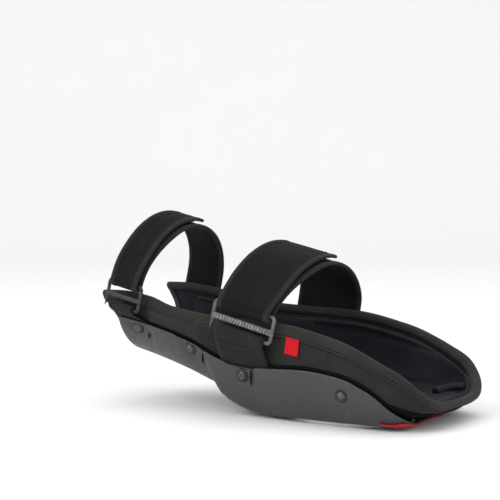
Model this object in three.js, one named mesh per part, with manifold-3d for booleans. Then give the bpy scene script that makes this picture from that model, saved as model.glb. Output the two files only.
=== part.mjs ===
// A knee pad for kneeling work: a hard outer shell with a flat sole, riveted to a padded textile
// cradle, and two calf straps on slip-on ring buckles.
//
// Millimetres, +Z up. The origin is on the floor under the kneecap, at the middle of the flat sole.
// +X points to the toe of the pad (the wearer's front), -Y is the outer side, which has the buckles.
// The cradle is a trough. It is drawn as ribs: each rib rises from a spine on the middle plane to
// the rim, as a quarter of a superellipse. Side ribs stand across the trough, and the ribs of the
// rounded front fan out from one point. Every layer is a slice between two depths below the outer
// mould surface, which is the outside of the hard shell.
import * as THREE from "three";
import { mergeVertices } from "three/addons/utils/BufferGeometryUtils.js";
import Module from "manifold-3d";

const wasm = await Module();
wasm.setup();

// ---- Driving dimensions ------------------------------------------------------------------
const FAN_X = 30; // where the side ribs end and the rounded front begins
const FRONT_X = 109; // the front of the mould surface, at the rim
const SHELL_REAR_X = -240; // rear edge of the hard shell
const CRADLE_REAR_X = -243; // rear edge of the padding, at the spine
const REAR_SWEEP = 15; // how much further back the padding reaches at the rim
const SWEEP_FROM = 0.45; // the share of the height from which it sweeps back
const PLAN_POWER = 3.8; // squareness of the rounded front, seen from above
const DEPTH_RATIO = 0.75; // depth of a layer under the foot of the trough, to its depth in the wall

// Depths of the layers below the mould surface, as [outer, inner].
const SHELL = [0, 2.6];
const TAB = [3.1, 4.3];
const BINDING_OUT = [4.8, 5.8];
const MESH_PANEL = [5.4, 5.85];
const COVER = [6.2, 7.2];
const FOAM = [7.6, 12];
const GEL = [9, 11.6];
const LINING = [12.4, 13];
const COMFORT_PAD = [13.4, 17];
const BINDING_IN = [13.8, 14.8];
const GAP = 0.4;

const SHIN_TILT = THREE.MathUtils.degToRad(13); // slope of the shin and of everything on the straps
const PLY = 2.8; // thickness of a strap
const BAR = { high: 4.4, thick: 3 }; // section of a buckle's outer bars
const FOLD = [3.3, 6.1]; // radii of a strap's fold round the top bar
const SLEEVE = [3, 4.6]; // radii of a tab's sleeve round the bottom bar

// The two straps, in their own frames. centre: the frame's origin. arch, base: heights of the top and of
// the centre of the ellipse that the main ply follows. near, far: distance of the main ply from the
// middle plane at the buckle and at its far end. bars: heights of the buckle's bottom bar, crossbar and
// top bar. slot: width inside the buckle. tail, main: width of the ply at the buckle and further on.
// farEnd: height of the far end. tailEnd: angle on the arch where the tail stops. tab: X positions of
// the anchor tab's columns.
const STRAPS = {
  lower: {
    centre: [-221, 0, 129], arch: 53, base: -10, near: 68.4, far: 70.5, bars: [-32.5, -22, -7],
    slot: 35, tail: [32, 34.5], main: [32, 44], farEnd: -28, tailEnd: 76, tab: [-240, -222, -207],
  },
  upper: {
    centre: [-79, 0, 102], arch: 50.5, base: -30, near: 80.9, far: 84.6, bars: [-22.2, -11.7, 3.3],
    slot: 62, tail: [57, 60.5], main: [57, 72], farEnd: -32, tailEnd: 80, tab: [-112, -85, -57],
  },
};

// ---- Outlines, as heights or widths against X -----------------------------------------------
// A smooth curve through points [x, y], read as y of x, that never overshoots its points.
function curveThrough(points) {
  const n = points.length;
  const slope = points.slice(1).map(([x, y], i) => (y - points[i][1]) / (x - points[i][0]));
  const tangent = points.map((_, i) => {
    if (i === 0) return slope[0];
    if (i === n - 1) return slope[n - 2];
    const [a, b] = [slope[i - 1], slope[i]];
    return a * b <= 0 ? 0 : (2 * a * b) / (a + b);
  });
  return (x) => {
    if (x <= points[0][0]) return points[0][1];
    if (x >= points[n - 1][0]) return points[n - 1][1];
    const i = points.findIndex((p, k) => k < n - 1 && x <= points[k + 1][0]);
    const [[x0, y0], [x1, y1]] = [points[i], points[i + 1]];
    const h = x1 - x0;
    const t = (x - x0) / h;
    const [t2, t3] = [t * t, t * t * t];
    return (
      y0 * (2 * t3 - 3 * t2 + 1) + y1 * (3 * t2 - 2 * t3) +
      h * (tangent[i] * (t3 - 2 * t2 + t) + tangent[i + 1] * (t3 - t2))
    );
  };
}
const halfWidth = curveThrough([
  [-260, 66], [-225, 68], [-180, 73], [-120, 80], [-80, 82], [-45, 84.5], [30, 87],
]);
const spineHeight = curveThrough([
  [-260, 54], [-240, 48], [-223, 44], [-176, 31.5], [-142, 20.5], [-120, 15], [-85, 8], [-50, 3],
]);
// Height of the knee cap's underside.
const capHeight = curveThrough([[-118, 19], [-110, 14], [-96, 8], [-80, 4.5], [-60, 3]]);
const rimHeight = curveThrough([
  [-259, 99], [-252, 109], [-240, 113], [-204, 109], [-176, 101], [-127, 95], [-45, 91.5], [10, 81], [42, 70],
  [61, 62], [81, 53], [94, 42], [109, 24],
]);
const shellEdge = curveThrough([
  [-240, 88], [-197, 80.5], [-148, 68.5], [-123, 58], [-100, 51.5], [-76, 49.5], [-20, 51.3], [13, 48.2],
  [34, 43], [55, 32.4], [74, 18.4], [92, 9.8], [102, 6.6], [109, 5.4],
]);
const squareness = curveThrough([[-260, 2.2], [-150, 2.4], [-100, 3.6], [-40, 4.5]]);
const FRONT_SQUARENESS = 2.4;
const STEP = [-129, -118]; // the rear face of the knee cap's thick foot
const FOOT_FLAT = { side: 0.75, front: 0.45 }; // how far out the foot is flat, as a share of a rib's reach
const FOOT_ROUND = 0.22; // the share of the reach over which it then rises into the wall
const SIDE_XS = [0, -30, -57, -85, -112, -118, -129, -142, -172, -207, -222, -240];
const FAN_STEPS = 6;
const SHELL_ROWS = 5; // rows of facets from the spine to the shell's edge

const smooth = (t) => THREE.MathUtils.smoothstep(t, 0, 1);
const { lerp } = THREE.MathUtils;

// How much of the knee cap's thick foot there is at x: none behind the step, all of it in front.
const footShare = (x) => THREE.MathUtils.clamp((x - STEP[0]) / (STEP[1] - STEP[0]), 0, 1);

// ---- Ribs and layers ---------------------------------------------------------------------
// A rib of the trough: direction is the way it leaves the spine, and x and y its reach at the rim.
function sideRib(x) {
  return {
    foot: x, rimX: x, reach: (off) => [0, halfWidth(x) - off], spine: spineHeight(x), rim: rimHeight(x),
    cap: capHeight(x), capShare: footShare(x), flat: FOOT_FLAT.side, power: squareness(x),
  };
}
function fanRib(angle) {
  const cos = Math.max(Math.cos(angle), 0) ** (2 / PLAN_POWER);
  const sin = Math.max(Math.sin(angle), 0) ** (2 / PLAN_POWER);
  const rimX = FAN_X + (FRONT_X - FAN_X) * cos;
  const sideways = smooth(angle / (Math.PI / 2));
  return {
    foot: FAN_X, rimX, reach: (off) => [(FRONT_X - off - FAN_X) * cos, (halfWidth(FAN_X) - off) * sin],
    spine: spineHeight(FAN_X), rim: rimHeight(rimX), cap: capHeight(FAN_X), capShare: 1,
    flat: lerp(FOOT_FLAT.front, FOOT_FLAT.side, sideways),
    power: lerp(FRONT_SQUARENESS, squareness(FAN_X), sideways),
  };
}
const rearRib = () => ({ ...sideRib(CRADLE_REAR_X), rear: true });

// A point on a rib at a share of its height, a depth below the mould surface. The thick foot counts
// on the layers that follow it (foot 1) and not on the ones inside it (foot 0).
function ribPoint(rib, share, side, off, foot = 1) {
  const spine = rib.spine + off * DEPTH_RATIO;
  const out = (1 - (1 - Math.min(share, 1)) ** rib.power) ** (1 / rib.power);
  const [x, y] = rib.reach(off);
  const wall = spine + (rib.rim - spine) * share;
  const floor = Math.min(wall, rib.cap + off * DEPTH_RATIO);
  const fade = 1 - smooth((out - rib.flat) / FOOT_ROUND);
  const sweep = rib.rear ? REAR_SWEEP * smooth((share - SWEEP_FROM) / (1 - SWEEP_FROM)) : 0;
  const z = lerp(wall, floor, foot * rib.capShare * fade);
  return new THREE.Vector3(rib.foot + x * out - sweep, side * y * out, z);
}
const shareAt = (rib, z, off) => {
  const spine = rib.spine + off * DEPTH_RATIO;
  return Math.max((z - spine) / (rib.rim - spine), 0);
};
// The share of a rib's height at a row: rows up to SHELL_ROWS climb to the shell's edge at even
// angles, and the rows above it are at the binding's lower edge and just under the rim.
const BINDING_ROW = SHELL_ROWS + 1;
const TOP_ROW = SHELL_ROWS + 2;
const BINDING_DROP = 12.5;
const TOP_DROP = 3.8;
function rowShare(rib, row, off) {
  const edge = shareAt(rib, shellEdge(rib.rimX), 0);
  if (row <= SHELL_ROWS) {
    const edgeAngle = Math.acos((1 - edge) ** (rib.power / 2));
    return 1 - Math.cos((edgeAngle * row) / SHELL_ROWS) ** (2 / rib.power);
  }
  const bindingEdge = shareAt(rib, rib.rim - BINDING_DROP, 0);
  if (row <= BINDING_ROW) return lerp(edge, bindingEdge, row - SHELL_ROWS);
  return lerp(bindingEdge, shareAt(rib, rib.rim - TOP_DROP, off), row - BINDING_ROW);
}

// The ribs from a side's rear end round the front, as [rib, side]. Rows start at the shared spine.
function columnsFrom(xs, rear = false) {
  const half = [];
  for (let i = 0; i <= FAN_STEPS; i++) half.push(fanRib(((i / FAN_STEPS) * Math.PI) / 2));
  xs.forEach((x) => half.push(sideRib(x)));
  if (rear) half.push(rearRib());
  const near = half.slice(1).reverse().map((rib) => [rib, -1]);
  return [...near, ...half.map((rib) => [rib, 1])];
}

// ---- Solids from grids -------------------------------------------------------------------
// A closed body between two grids of points. open lists the edges that need no wall, because the
// grid meets itself there: "row0" where both halves share the spine.
function slab(columns, rows, outerAt, innerAt, open = []) {
  const corners = [];
  const quad = (a, b, c, d) => corners.push(a, b, c, a, c, d);
  const column = (at, i) => Array.from({ length: rows }, (_, k) => at(i, k));
  const grid = (at) => Array.from({ length: columns }, (_, i) => column(at, i));
  const [o, n] = [grid(outerAt), grid(innerAt)];
  for (let i = 0; i < columns - 1; i++) {
    for (let k = 0; k < rows - 1; k++) {
      quad(o[i][k], o[i + 1][k], o[i + 1][k + 1], o[i][k + 1]);
      quad(n[i][k], n[i][k + 1], n[i + 1][k + 1], n[i + 1][k]);
    }
    if (!open.includes("row0")) quad(o[i][0], n[i][0], n[i + 1][0], o[i + 1][0]);
    quad(o[i][rows - 1], o[i + 1][rows - 1], n[i + 1][rows - 1], n[i][rows - 1]);
  }
  if (!open.includes("columns")) {
    for (let k = 0; k < rows - 1; k++) {
      const last = columns - 1;
      quad(o[0][k], o[0][k + 1], n[0][k + 1], n[0][k]);
      quad(o[last][k], n[last][k], n[last][k + 1], o[last][k + 1]);
    }
  }
  return closedBody(corners);
}

// Triangles given corner by corner, as one indexed body that faces out, without slivers.
function closedBody(corners) {
  const raw = new THREE.BufferGeometry().setFromPoints(corners);
  const merged = mergeVertices(raw, 1e-3);
  const index = [];
  const at = merged.index;
  for (let i = 0; i < at.count; i += 3) {
    const [a, b, c] = [at.getX(i), at.getX(i + 1), at.getX(i + 2)];
    if (a !== b && b !== c && c !== a) index.push(a, b, c);
  }
  merged.setIndex(index);
  if (signedVolume(merged) < 0) {
    for (let i = 0; i < index.length; i += 3) [index[i], index[i + 1]] = [index[i + 1], index[i]];
    merged.setIndex(index);
  }
  return merged;
}
function signedVolume(geometry) {
  const point = (i) => new THREE.Vector3().fromBufferAttribute(geometry.attributes.position, i);
  const at = geometry.index;
  let sum = 0;
  for (let i = 0; i < at.count; i += 3) {
    sum += point(at.getX(i)).dot(point(at.getX(i + 1)).cross(point(at.getX(i + 2)))) / 6;
  }
  return sum;
}

// Between a three.js geometry and a manifold-3d solid.
function solidOf(geometry) {
  const bare = geometry.clone();
  bare.deleteAttribute("normal");
  bare.deleteAttribute("uv");
  const merged = mergeVertices(bare, 1e-3);
  const mesh = new wasm.Mesh({
    numProp: 3,
    vertProperties: new Float32Array(merged.attributes.position.array),
    triVerts: new Uint32Array(merged.index.array),
  });
  return new wasm.Manifold(mesh);
}
function geometryOf(solid) {
  const mesh = solid.getMesh();
  const positions = new Float32Array(mesh.numVert * 3);
  for (let i = 0; i < mesh.numVert; i++) {
    positions.set(mesh.vertProperties.subarray(i * mesh.numProp, i * mesh.numProp + 3), i * 3);
  }
  const geometry = new THREE.BufferGeometry();
  geometry.setAttribute("position", new THREE.BufferAttribute(positions, 3));
  geometry.setIndex(new THREE.BufferAttribute(new Uint32Array(mesh.triVerts), 1));
  return geometry;
}
const cut = (geometry, tools) =>
  geometryOf(tools.reduce((body, tool) => body.subtract(solidOf(tool)), solidOf(geometry)));
const join = (a, b) => geometryOf(solidOf(a).add(solidOf(b)));

// ---- Materials ---------------------------------------------------------------------------
const finish = (color, roughness, metalness = 0) =>
  new THREE.MeshStandardMaterial({ color, roughness, metalness });
const MATERIALS = {
  shell: finish(0x4a4b4e, 0.5),
  sole: finish(0xe6e6e2, 0.6),
  red: finish(0xd0202a, 0.6),
  rivet: finish(0x2b2b2d, 0.35),
  washer: finish(0x1c1c1d, 0.6),
  fabric: finish(0x2a2928, 0.9),
  mesh: finish(0x333230, 0.9),
  foam: finish(0x1d1d1f, 0.95),
  gel: finish(0x3f6f9a, 0.3),
  lining: finish(0x222228, 0.85),
  binding: finish(0x3a3634, 0.9),
  webbing: finish(0x272625, 0.9),
  strap: finish(0x232123, 0.9),
  hook: finish(0x161617, 0.95),
  buckle: finish(0x565758, 0.4),
};
const model = new THREE.Group();
function add(name, geometry, material, parent = model) {
  const mesh = new THREE.Mesh(geometry, MATERIALS[material]);
  mesh.name = name;
  parent.add(mesh);
  return mesh;
}

// ---- The hard shell, its sole, badge and rivets ----------------------------------------------
const SHELL_COLUMNS = columnsFrom(SIDE_XS);
const CRADLE_COLUMNS = columnsFrom(SIDE_XS, true);

// A layer of the trough from the spine up to a row. foot says which of its two faces have the foot.
function layer(columns, topRow, [outer, inner], foot = [1, 1]) {
  const at = (off, footShare) => (i, k) => {
    const [rib, side] = columns[i];
    return ribPoint(rib, rowShare(rib, k, off), side, off, footShare);
  };
  return slab(columns.length, topRow + 1, at(outer, foot[0]), at(inner, foot[1]), ["row0"]);
}

// Rivets, as [x, z] on the shell's side.
const RIVETS = [[-217, 77], [-150, 61], [-87, 41], [22, 31]];
const RIVET = { head: 5.6, headHigh: 2, shank: 2.2, long: 11, hole: 2.7 };
const WASHER = { outer: 6, inner: 2.7, from: 9.2, to: 10.6 };
const DRILL_PAST = 2;

// The frame of a point on the shell's side, with its own z axis along the outward normal.
function wallFrame(x, z, side) {
  const at = (px, pz) => {
    const rib = sideRib(px);
    return ribPoint(rib, shareAt(rib, pz, 0), side, 0);
  };
  const point = at(x, z);
  const along = at(x + 1, z).sub(point);
  const up = at(x, z + 1).sub(point);
  const normal = along.cross(up).multiplyScalar(-side).normalize();
  const turn = new THREE.Quaternion().setFromUnitVectors(new THREE.Vector3(0, 0, 1), normal);
  return new THREE.Matrix4().compose(point, turn, new THREE.Vector3(1, 1, 1));
}
// A turned part on the z axis from its profile of [radius, height].
const turned = (profile, segments = 10) =>
  new THREE.LatheGeometry(profile.map(([r, z]) => new THREE.Vector2(r, z)), segments).rotateX(Math.PI / 2);
const rivetShape = () =>
  turned([
    [0, -RIVET.long], [RIVET.shank, -RIVET.long], [RIVET.shank, GAP], [RIVET.head, GAP],
    [RIVET.head * 0.85, RIVET.headHigh * 0.75], [0, RIVET.headHigh + GAP],
  ]);
const washerShape = () =>
  turned([
    [WASHER.inner, -WASHER.to], [WASHER.outer, -WASHER.to], [WASHER.outer, -WASHER.from],
    [WASHER.inner, -WASHER.from], [WASHER.inner, -WASHER.to],
  ]);
const drill = (radius, from, to) => turned([[0, -to], [radius, -to], [radius, -from], [0, -from]]);

const SIDES = [["near", -1], ["far", 1]];
const rivetFrames = SIDES.flatMap(([word, side]) =>
  RIVETS.map(([x, z], i) => ({ name: `${word}_${i + 1}`, frame: wallFrame(x, z, side) })),
);
// Drills through every rivet's place, that run well past both faces of a layer.
const drills = (radius, [outer, inner]) =>
  rivetFrames.map(({ frame }) => drill(radius, outer - DRILL_PAST, inner + DRILL_PAST).applyMatrix4(frame));

function addShell() {
  const shell = layer(SHELL_COLUMNS, SHELL_ROWS, SHELL);
  add("hard_shell", cut(shell, drills(RIVET.hole, SHELL)), "shell");
}
function addRivets() {
  rivetFrames.forEach(({ name, frame }) => {
    add(`rivet_${name}`, rivetShape().applyMatrix4(frame), "rivet");
    add(`rivet_washer_${name}`, washerShape().applyMatrix4(frame), "washer");
  });
}

// Height of the mould surface over a point of the floor plan.
function undersideHeight(x, y) {
  const v = Math.abs(y) / halfWidth(Math.min(x, FAN_X));
  const heightAt = (rib, out) => ribPoint(rib, 1 - (1 - out ** rib.power) ** (1 / rib.power), 1, 0).z;
  if (x <= FAN_X) return heightAt(sideRib(x), v);
  const u = (x - FAN_X) / (FRONT_X - FAN_X);
  const out = (u ** PLAN_POWER + v ** PLAN_POWER) ** (1 / PLAN_POWER);
  return heightAt(fanRib(Math.acos(Math.min((u / out) ** (PLAN_POWER / 2), 1))), out);
}
// The flat sole: its underside lies on the floor and its top follows the shell.
const SOLE = { halfLong: 58, halfWide: 60, power: 3, sides: 28, rings: 3, bevel: 1.5, below: 1 };
function addSole() {
  const rim = (i, inset) => {
    const a = (i / SOLE.sides) * 2 * Math.PI;
    const [c, s] = [Math.cos(a), Math.sin(a)];
    const power = 2 / SOLE.power;
    return [
      (SOLE.halfLong - inset) * Math.sign(c) * Math.abs(c) ** power,
      (SOLE.halfWide - inset) * Math.sign(s) * Math.abs(s) ** power,
    ];
  };
  const at = (inset, height) => (i, k) => {
    const [rx, ry] = rim(i % SOLE.sides, inset);
    const share = k / SOLE.rings;
    return new THREE.Vector3(rx * share, ry * share, height(rx * share, ry * share));
  };
  const top = at(0, (x, y) => undersideHeight(x, y) - SOLE.below);
  const bottom = at(SOLE.bevel, () => 0);
  add("sole_plate", slab(SOLE.sides + 1, SOLE.rings + 1, top, bottom, ["row0", "columns"]), "sole");
}

// The badge: a plain red plate round the nose of the shell, between the sole and the shell's edge.
const BADGE = { rows: [3.6, 4, 4.9], half: 5, depth: [-1.8, -0.6] };
function addBadge() {
  const at = (off) => (i, k) => {
    const step = i - BADGE.half;
    const rib = fanRib(((Math.abs(step) / FAN_STEPS) * Math.PI) / 2);
    return ribPoint(rib, rowShare(rib, BADGE.rows[k], off), Math.sign(step) || 1, off);
  };
  const columns = 2 * BADGE.half + 1;
  add("front_badge", slab(columns, BADGE.rows.length, at(BADGE.depth[0]), at(BADGE.depth[1])), "red");
}

// ---- The textile cradle ------------------------------------------------------------------
const GEL_REAR_X = -30;
const GEL_ROWS = [0, 1, 2, 3];
const POCKET_ROWS = [0, 1, 2, 3.15];
const POCKET_REAR_X = GEL_REAR_X - 2.5;

// A patch over the knee for the gel, or for its slightly larger pocket in the foam.
function kneePatch([outer, inner], rearX, rows) {
  const columns = columnsFrom([0, rearX]);
  const at = (off) => (i, k) => {
    const [rib, side] = columns[i];
    return ribPoint(rib, rowShare(rib, rows[k], off), side, off, 0);
  };
  return slab(columns.length, rows.length, at(outer), at(inner), ["row0"]);
}
function addCradle() {
  add("outer_cover", cut(layer(CRADLE_COLUMNS, TOP_ROW, COVER), drills(RIVET.hole, COVER)), "fabric");
  const foam = layer(CRADLE_COLUMNS, TOP_ROW, FOAM, [1, 0]);
  const pocket = kneePatch([GEL[0] - 2 * GAP, FOAM[1] + 1], POCKET_REAR_X, POCKET_ROWS);
  add("foam_cradle", cut(foam, [pocket, ...drills(WASHER.outer + GAP, FOAM)]), "foam");
  add("gel_insert", kneePatch(GEL, GEL_REAR_X, GEL_ROWS), "gel");
  add("lining", layer(CRADLE_COLUMNS, TOP_ROW, LINING, [0, 0]), "lining");
}

// The comfort pad: a cushion on the lining that stops short of the binding and of the rear end.
function addComfortPad() {
  const columns = columnsFrom(SIDE_XS.slice(0, -1));
  add("comfort_pad", layer(columns, BINDING_ROW, COMFORT_PAD, [0, 0]), "lining");
}

// The binding's section, folded over the rim from outside to in, as [depth, height above the rim]. Its
// two legs end at rows of the cradle, so that they lie flat on it.
const [BO, BI] = [BINDING_OUT, BINDING_IN];
const LEG_ROWS = [BINDING_ROW + 0.15, BINDING_ROW + 0.9];
const BINDING_SECTION = {
  outer: [[BO[0]], [BO[0], -3], [BO[0] + 2.4, -0.2], [BI[1] - 2.4, -0.2], [BI[1], -3], [BI[1]]],
  inner: [[BO[1]], [BO[1], -3.4], [BO[1] + 1.8, -1.2], [BI[0] - 1.8, -1.2], [BI[0], -3.4], [BI[0]]],
};
const REAR_LEGS = [-11, -6.5]; // where the legs end along the rear edge, where the cradle is straight
function sectionShare(rib, k, [off, up]) {
  if (up === undefined) return rowShare(rib, LEG_ROWS[k === 0 ? 0 : 1], off);
  return shareAt(rib, rib.rim + up, off);
}
function addBindings() {
  const columns = CRADLE_COLUMNS;
  const at = (section) => (i, k) => {
    const [rib, side] = columns[i];
    return ribPoint(rib, sectionShare(rib, k, section[k]), side, section[k][0], 0);
  };
  const rows = BINDING_SECTION.outer.length;
  const tape = (columnCount, faceAt) =>
    slab(columnCount, rows, faceAt(BINDING_SECTION.outer), faceAt(BINDING_SECTION.inner));
  add("rim_binding", tape(columns.length, at), "binding");

  // The rear edge: the same fold, turned to point back, from one side down under the shin to the
  // other. It slides along the last two strips of the cradle.
  const strips = [sideRib(SIDE_XS.at(-2)), sideRib(SHELL_REAR_X), rearRib()];
  const behind = (section) => (i, k) => {
    const [row, side] = [Math.abs(i - BINDING_ROW), Math.sign(i - BINDING_ROW)];
    const [off, up = REAR_LEGS[k === 0 ? 0 : 1]] = section[k];
    const [before, last, rear] = strips.map((r) => ribPoint(r, rowShare(r, row, off), side, off, 0));
    const fromLast = last.distanceTo(rear) + TOP_DROP + up;
    if (fromLast < 0) return last.clone().lerp(before, -fromLast / last.distanceTo(before));
    return last.clone().lerp(rear, fromLast / last.distanceTo(rear));
  };
  add("rear_binding", tape(2 * BINDING_ROW + 1, behind), "binding");
}

// A panel on the wall between two X positions, from one row to another.
function wallPanel(xs, rows, [outer, inner], side, foot = 1) {
  const ribs = xs.map(sideRib);
  const at = (off) => (i, k) => ribPoint(ribs[i], rowShare(ribs[i], rows[k], off), side, off, foot);
  return slab(ribs.length, rows.length, at(outer), at(inner));
}
const MESH_XS = [-198, -172, -142, -131, -120];
const MESH_ROWS = [SHELL_ROWS + 0.06, BINDING_ROW];
const LABEL = { x: -31, z: 71, half: 7.5, droop: 1.2, depth: [3.2, 4.4] };
function addWallPieces() {
  SIDES.forEach(([word, side]) => {
    add(`mesh_panel_${word}`, wallPanel(MESH_XS, MESH_ROWS, MESH_PANEL, side), "mesh");
  });
  const at = (off) => (i, k) => {
    const rib = sideRib(LABEL.x + LABEL.half * (2 * i - 1));
    return ribPoint(rib, shareAt(rib, LABEL.z + LABEL.half * (2 * k - 1) - LABEL.droop * i, off), -1, off);
  };
  add("side_label", slab(2, 2, at(LABEL.depth[0]), at(LABEL.depth[1])), "red");
}

// ---- Anchor tabs -------------------------------------------------------------------------
// A strap's own frame: x along the shin, z up out of the trough, origin at the arch's centre.
function strapGroup(strap) {
  const group = new THREE.Group();
  group.position.set(...strap.centre);
  group.rotation.y = SHIN_TILT;
  model.add(group);
  return group;
}
// A point of a strap's frame in the pad's frame.
function fromStrap(strap, along, y, up) {
  const [cx, cy, cz] = strap.centre;
  const [c, s] = [Math.cos(SHIN_TILT), Math.sin(SHIN_TILT)];
  return new THREE.Vector3(cx + along * c + up * s, cy + y, cz - along * s + up * c);
}
// The distance of the buckle's bars from the middle plane.
const barSide = (strap) => -(strap.near + (FOLD[0] + FOLD[1]) / 2);

// A ring of given radii along a strap frame's x axis.
function ring([inner, outer], long, segments = 14) {
  const shape = new THREE.Shape().absarc(0, 0, outer, 0, 2 * Math.PI);
  shape.holes.push(new THREE.Path().absarc(0, 0, inner, 0, 2 * Math.PI, true));
  const settings = { depth: long, bevelEnabled: false, curveSegments: segments };
  const geometry = new THREE.ExtrudeGeometry(shape, settings);
  return geometry.translate(0, 0, -long / 2).rotateY(Math.PI / 2);
}
// A tab starts between the shell and the cover, below the rivet that clamps it.
const TAB_ROWS = [3, 4, SHELL_ROWS];
const FAR_TAB_TOP = BINDING_ROW + 0.5;
const TAB_DRILLS = drills(RIVET.hole, TAB);
const TAB_SHORT = 4; // how far a near tab stops short of each end of its bar

function nearTab(strap) {
  const barY = barSide(strap);
  const thick = TAB[1] - TAB[0];
  const sleeveMid = (SLEEVE[0] + SLEEVE[1]) / 2;
  const half = strap.slot / 2 - TAB_SHORT;
  const at = (depth) => (i, k) => {
    const rib = sideRib(strap.tab[i]);
    if (k < TAB_ROWS.length) return ribPoint(rib, rowShare(rib, TAB_ROWS[k], 0), -1, TAB[0] + depth);
    // The top of the ply is level with the bar, within the inner side of its sleeve.
    const along = lerp(-half, half, i / (strap.tab.length - 1));
    return fromStrap(strap, along, barY + sleeveMid - thick / 2 + depth, strap.bars[0]);
  };
  const ply = slab(strap.tab.length, TAB_ROWS.length + 1, at(0), at(thick));
  const sleeve = ring(SLEEVE, 2 * half).translate(0, barY, strap.bars[0]);
  sleeve.rotateY(SHIN_TILT).translate(...strap.centre);
  return join(cut(ply, TAB_DRILLS), sleeve);
}
function farTab(strap) {
  return cut(wallPanel(strap.tab, [...TAB_ROWS, BINDING_ROW, FAR_TAB_TOP], TAB, 1), TAB_DRILLS);
}

// ---- Buckles -----------------------------------------------------------------------------
// A ring buckle: two arms, a round bar at top and bottom and a broad bar between. The bottom bar
// is open at its rear end, so that the tab slips on and off it.
const ARM = 3.6;
const CROSSBAR = 8;
const SLIP_GAP = 3;
const CORNER = 4;
function buckle(strap) {
  const [bottom, middle, top] = strap.bars;
  const half = strap.slot / 2;
  const rect = (path, x0, z0, x1, z1, r) => {
    path.moveTo(x0 + r, z0);
    path.lineTo(x1 - r, z0);
    path.absarc(x1 - r, z0 + r, r, -Math.PI / 2, 0);
    path.lineTo(x1, z1 - r);
    path.absarc(x1 - r, z1 - r, r, 0, Math.PI / 2);
    path.lineTo(x0 + r, z1);
    path.absarc(x0 + r, z1 - r, r, Math.PI / 2, Math.PI);
    path.lineTo(x0, z0 + r);
    path.absarc(x0 + r, z0 + r, r, Math.PI, (3 * Math.PI) / 2);
    return path;
  };
  const edge = half + ARM;
  const outline = rect(new THREE.Shape(), -edge, bottom - BAR.high / 2, edge, top + BAR.high / 2, CORNER);
  const slots = [
    [bottom + BAR.high / 2, middle - CROSSBAR / 2],
    [middle + CROSSBAR / 2, top - BAR.high / 2],
  ];
  slots.forEach(([low, high]) => outline.holes.push(rect(new THREE.Path(), -half, low, half, high, 1)));
  const settings = { depth: BAR.thick, bevelEnabled: false, curveSegments: 3 };
  const plate = new THREE.ExtrudeGeometry(outline, settings);
  plate.rotateX(Math.PI / 2).translate(0, BAR.thick / 2, 0);
  const slit = new THREE.BoxGeometry(SLIP_GAP, 2 * BAR.thick, BAR.high + 2);
  slit.translate(-half + SLIP_GAP / 2 + 0.01, 0, bottom - 0.5);
  return cut(plate, [slit]).translate(0, barSide(strap), 0);
}

// ---- Straps ------------------------------------------------------------------------------
// A band that follows a path of [y, z] points, thick about the path, with its width read along it.
function band(path, thick, widthAt) {
  const normal = (i) => {
    const [a, b] = [path[Math.max(i - 1, 0)], path[Math.min(i + 1, path.length - 1)]];
    const long = Math.hypot(b[0] - a[0], b[1] - a[1]);
    return [-(b[1] - a[1]) / long, (b[0] - a[0]) / long];
  };
  const at = (out) => (i, k) => {
    const [ny, nz] = normal(i);
    const half = widthAt(i / (path.length - 1)) / 2;
    return new THREE.Vector3((2 * k - 1) * half, path[i][0] + ny * out, path[i][1] + nz * out);
  };
  return slab(path.length, 2, at(thick / 2), at(-thick / 2));
}
// The ellipse of a strap's arch at a distance out from its main ply, and the angle at which it is
// level with the buckle's top bar. 180 degrees is the near side and 0 the far side.
function ellipse(strap, out) {
  const rise = strap.bars[2] - strap.base;
  const high = strap.arch - strap.base;
  const middle = (strap.far - strap.near) / 2;
  const half = (strap.far + strap.near) / 2 / Math.sqrt(1 - (rise / high) ** 2);
  const level = THREE.MathUtils.radToDeg(Math.asin(rise / (high + out)));
  const at = (degrees, further = out) => {
    const a = THREE.MathUtils.degToRad(degrees);
    return [middle + (half + further) * Math.cos(a), strap.base + (high + further) * Math.sin(a)];
  };
  return { level, at };
}
const steps = (count, at) => Array.from({ length: count + 1 }, (_, i) => at(i / count));
function archPath(strap, out, from, to, count) {
  return steps(count, (t) => ellipse(strap, out).at(lerp(from, to, t)));
}
const foldMid = (FOLD[0] + FOLD[1]) / 2;
const FOLD_TURN = THREE.MathUtils.degToRad(115); // the fold under the bar that belongs to the main ply
const PILE = 0.8; // thickness of the hook and loop patches
const TAIL_OUT = 2 * foldMid; // the tail leaves the bar this far out of the main ply
const CLOSED_OUT = PLY + 2 * PILE + 3 * GAP; // and lies this far out where hooks and loops meet
const CLOSED_FROM = 142; // the angle on the arch from where they meet
const FOLD_SHARE = 0.07; // the share of the main ply's length that is in the fold
const PATCH_INSET = 12;

// The main ply: up from its hooked far end, over the calf, down to the top bar and round under it.
function mainPath(strap) {
  const { level } = ellipse(strap, 0);
  const fold = steps(5, (t) => {
    const a = -FOLD_TURN * t;
    return [barSide(strap) + foldMid * Math.cos(a), strap.bars[2] + foldMid * Math.sin(a)];
  });
  const farEnd = [[strap.far, strap.farEnd], [strap.far, strap.farEnd / 2]];
  return [...farEnd, ...archPath(strap, 0, level, 180 - level, 20), ...fold.slice(1)];
}
// The tail: up from the outer side of the top bar and back down onto the main ply.
function tailPath(strap) {
  const start = 180 - ellipse(strap, TAIL_OUT).level;
  return steps(16, (t) => {
    const a = lerp(start, strap.tailEnd, t);
    const out = lerp(TAIL_OUT, CLOSED_OUT, smooth((start - a) / (start - CLOSED_FROM)));
    return ellipse(strap, TAIL_OUT).at(a, out);
  });
}
// A width that grows from the buckle over a share of the length, read from the buckle.
const widening = ([atBuckle, beyond], over) => (t) => lerp(atBuckle, beyond, smooth(t / over));

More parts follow.
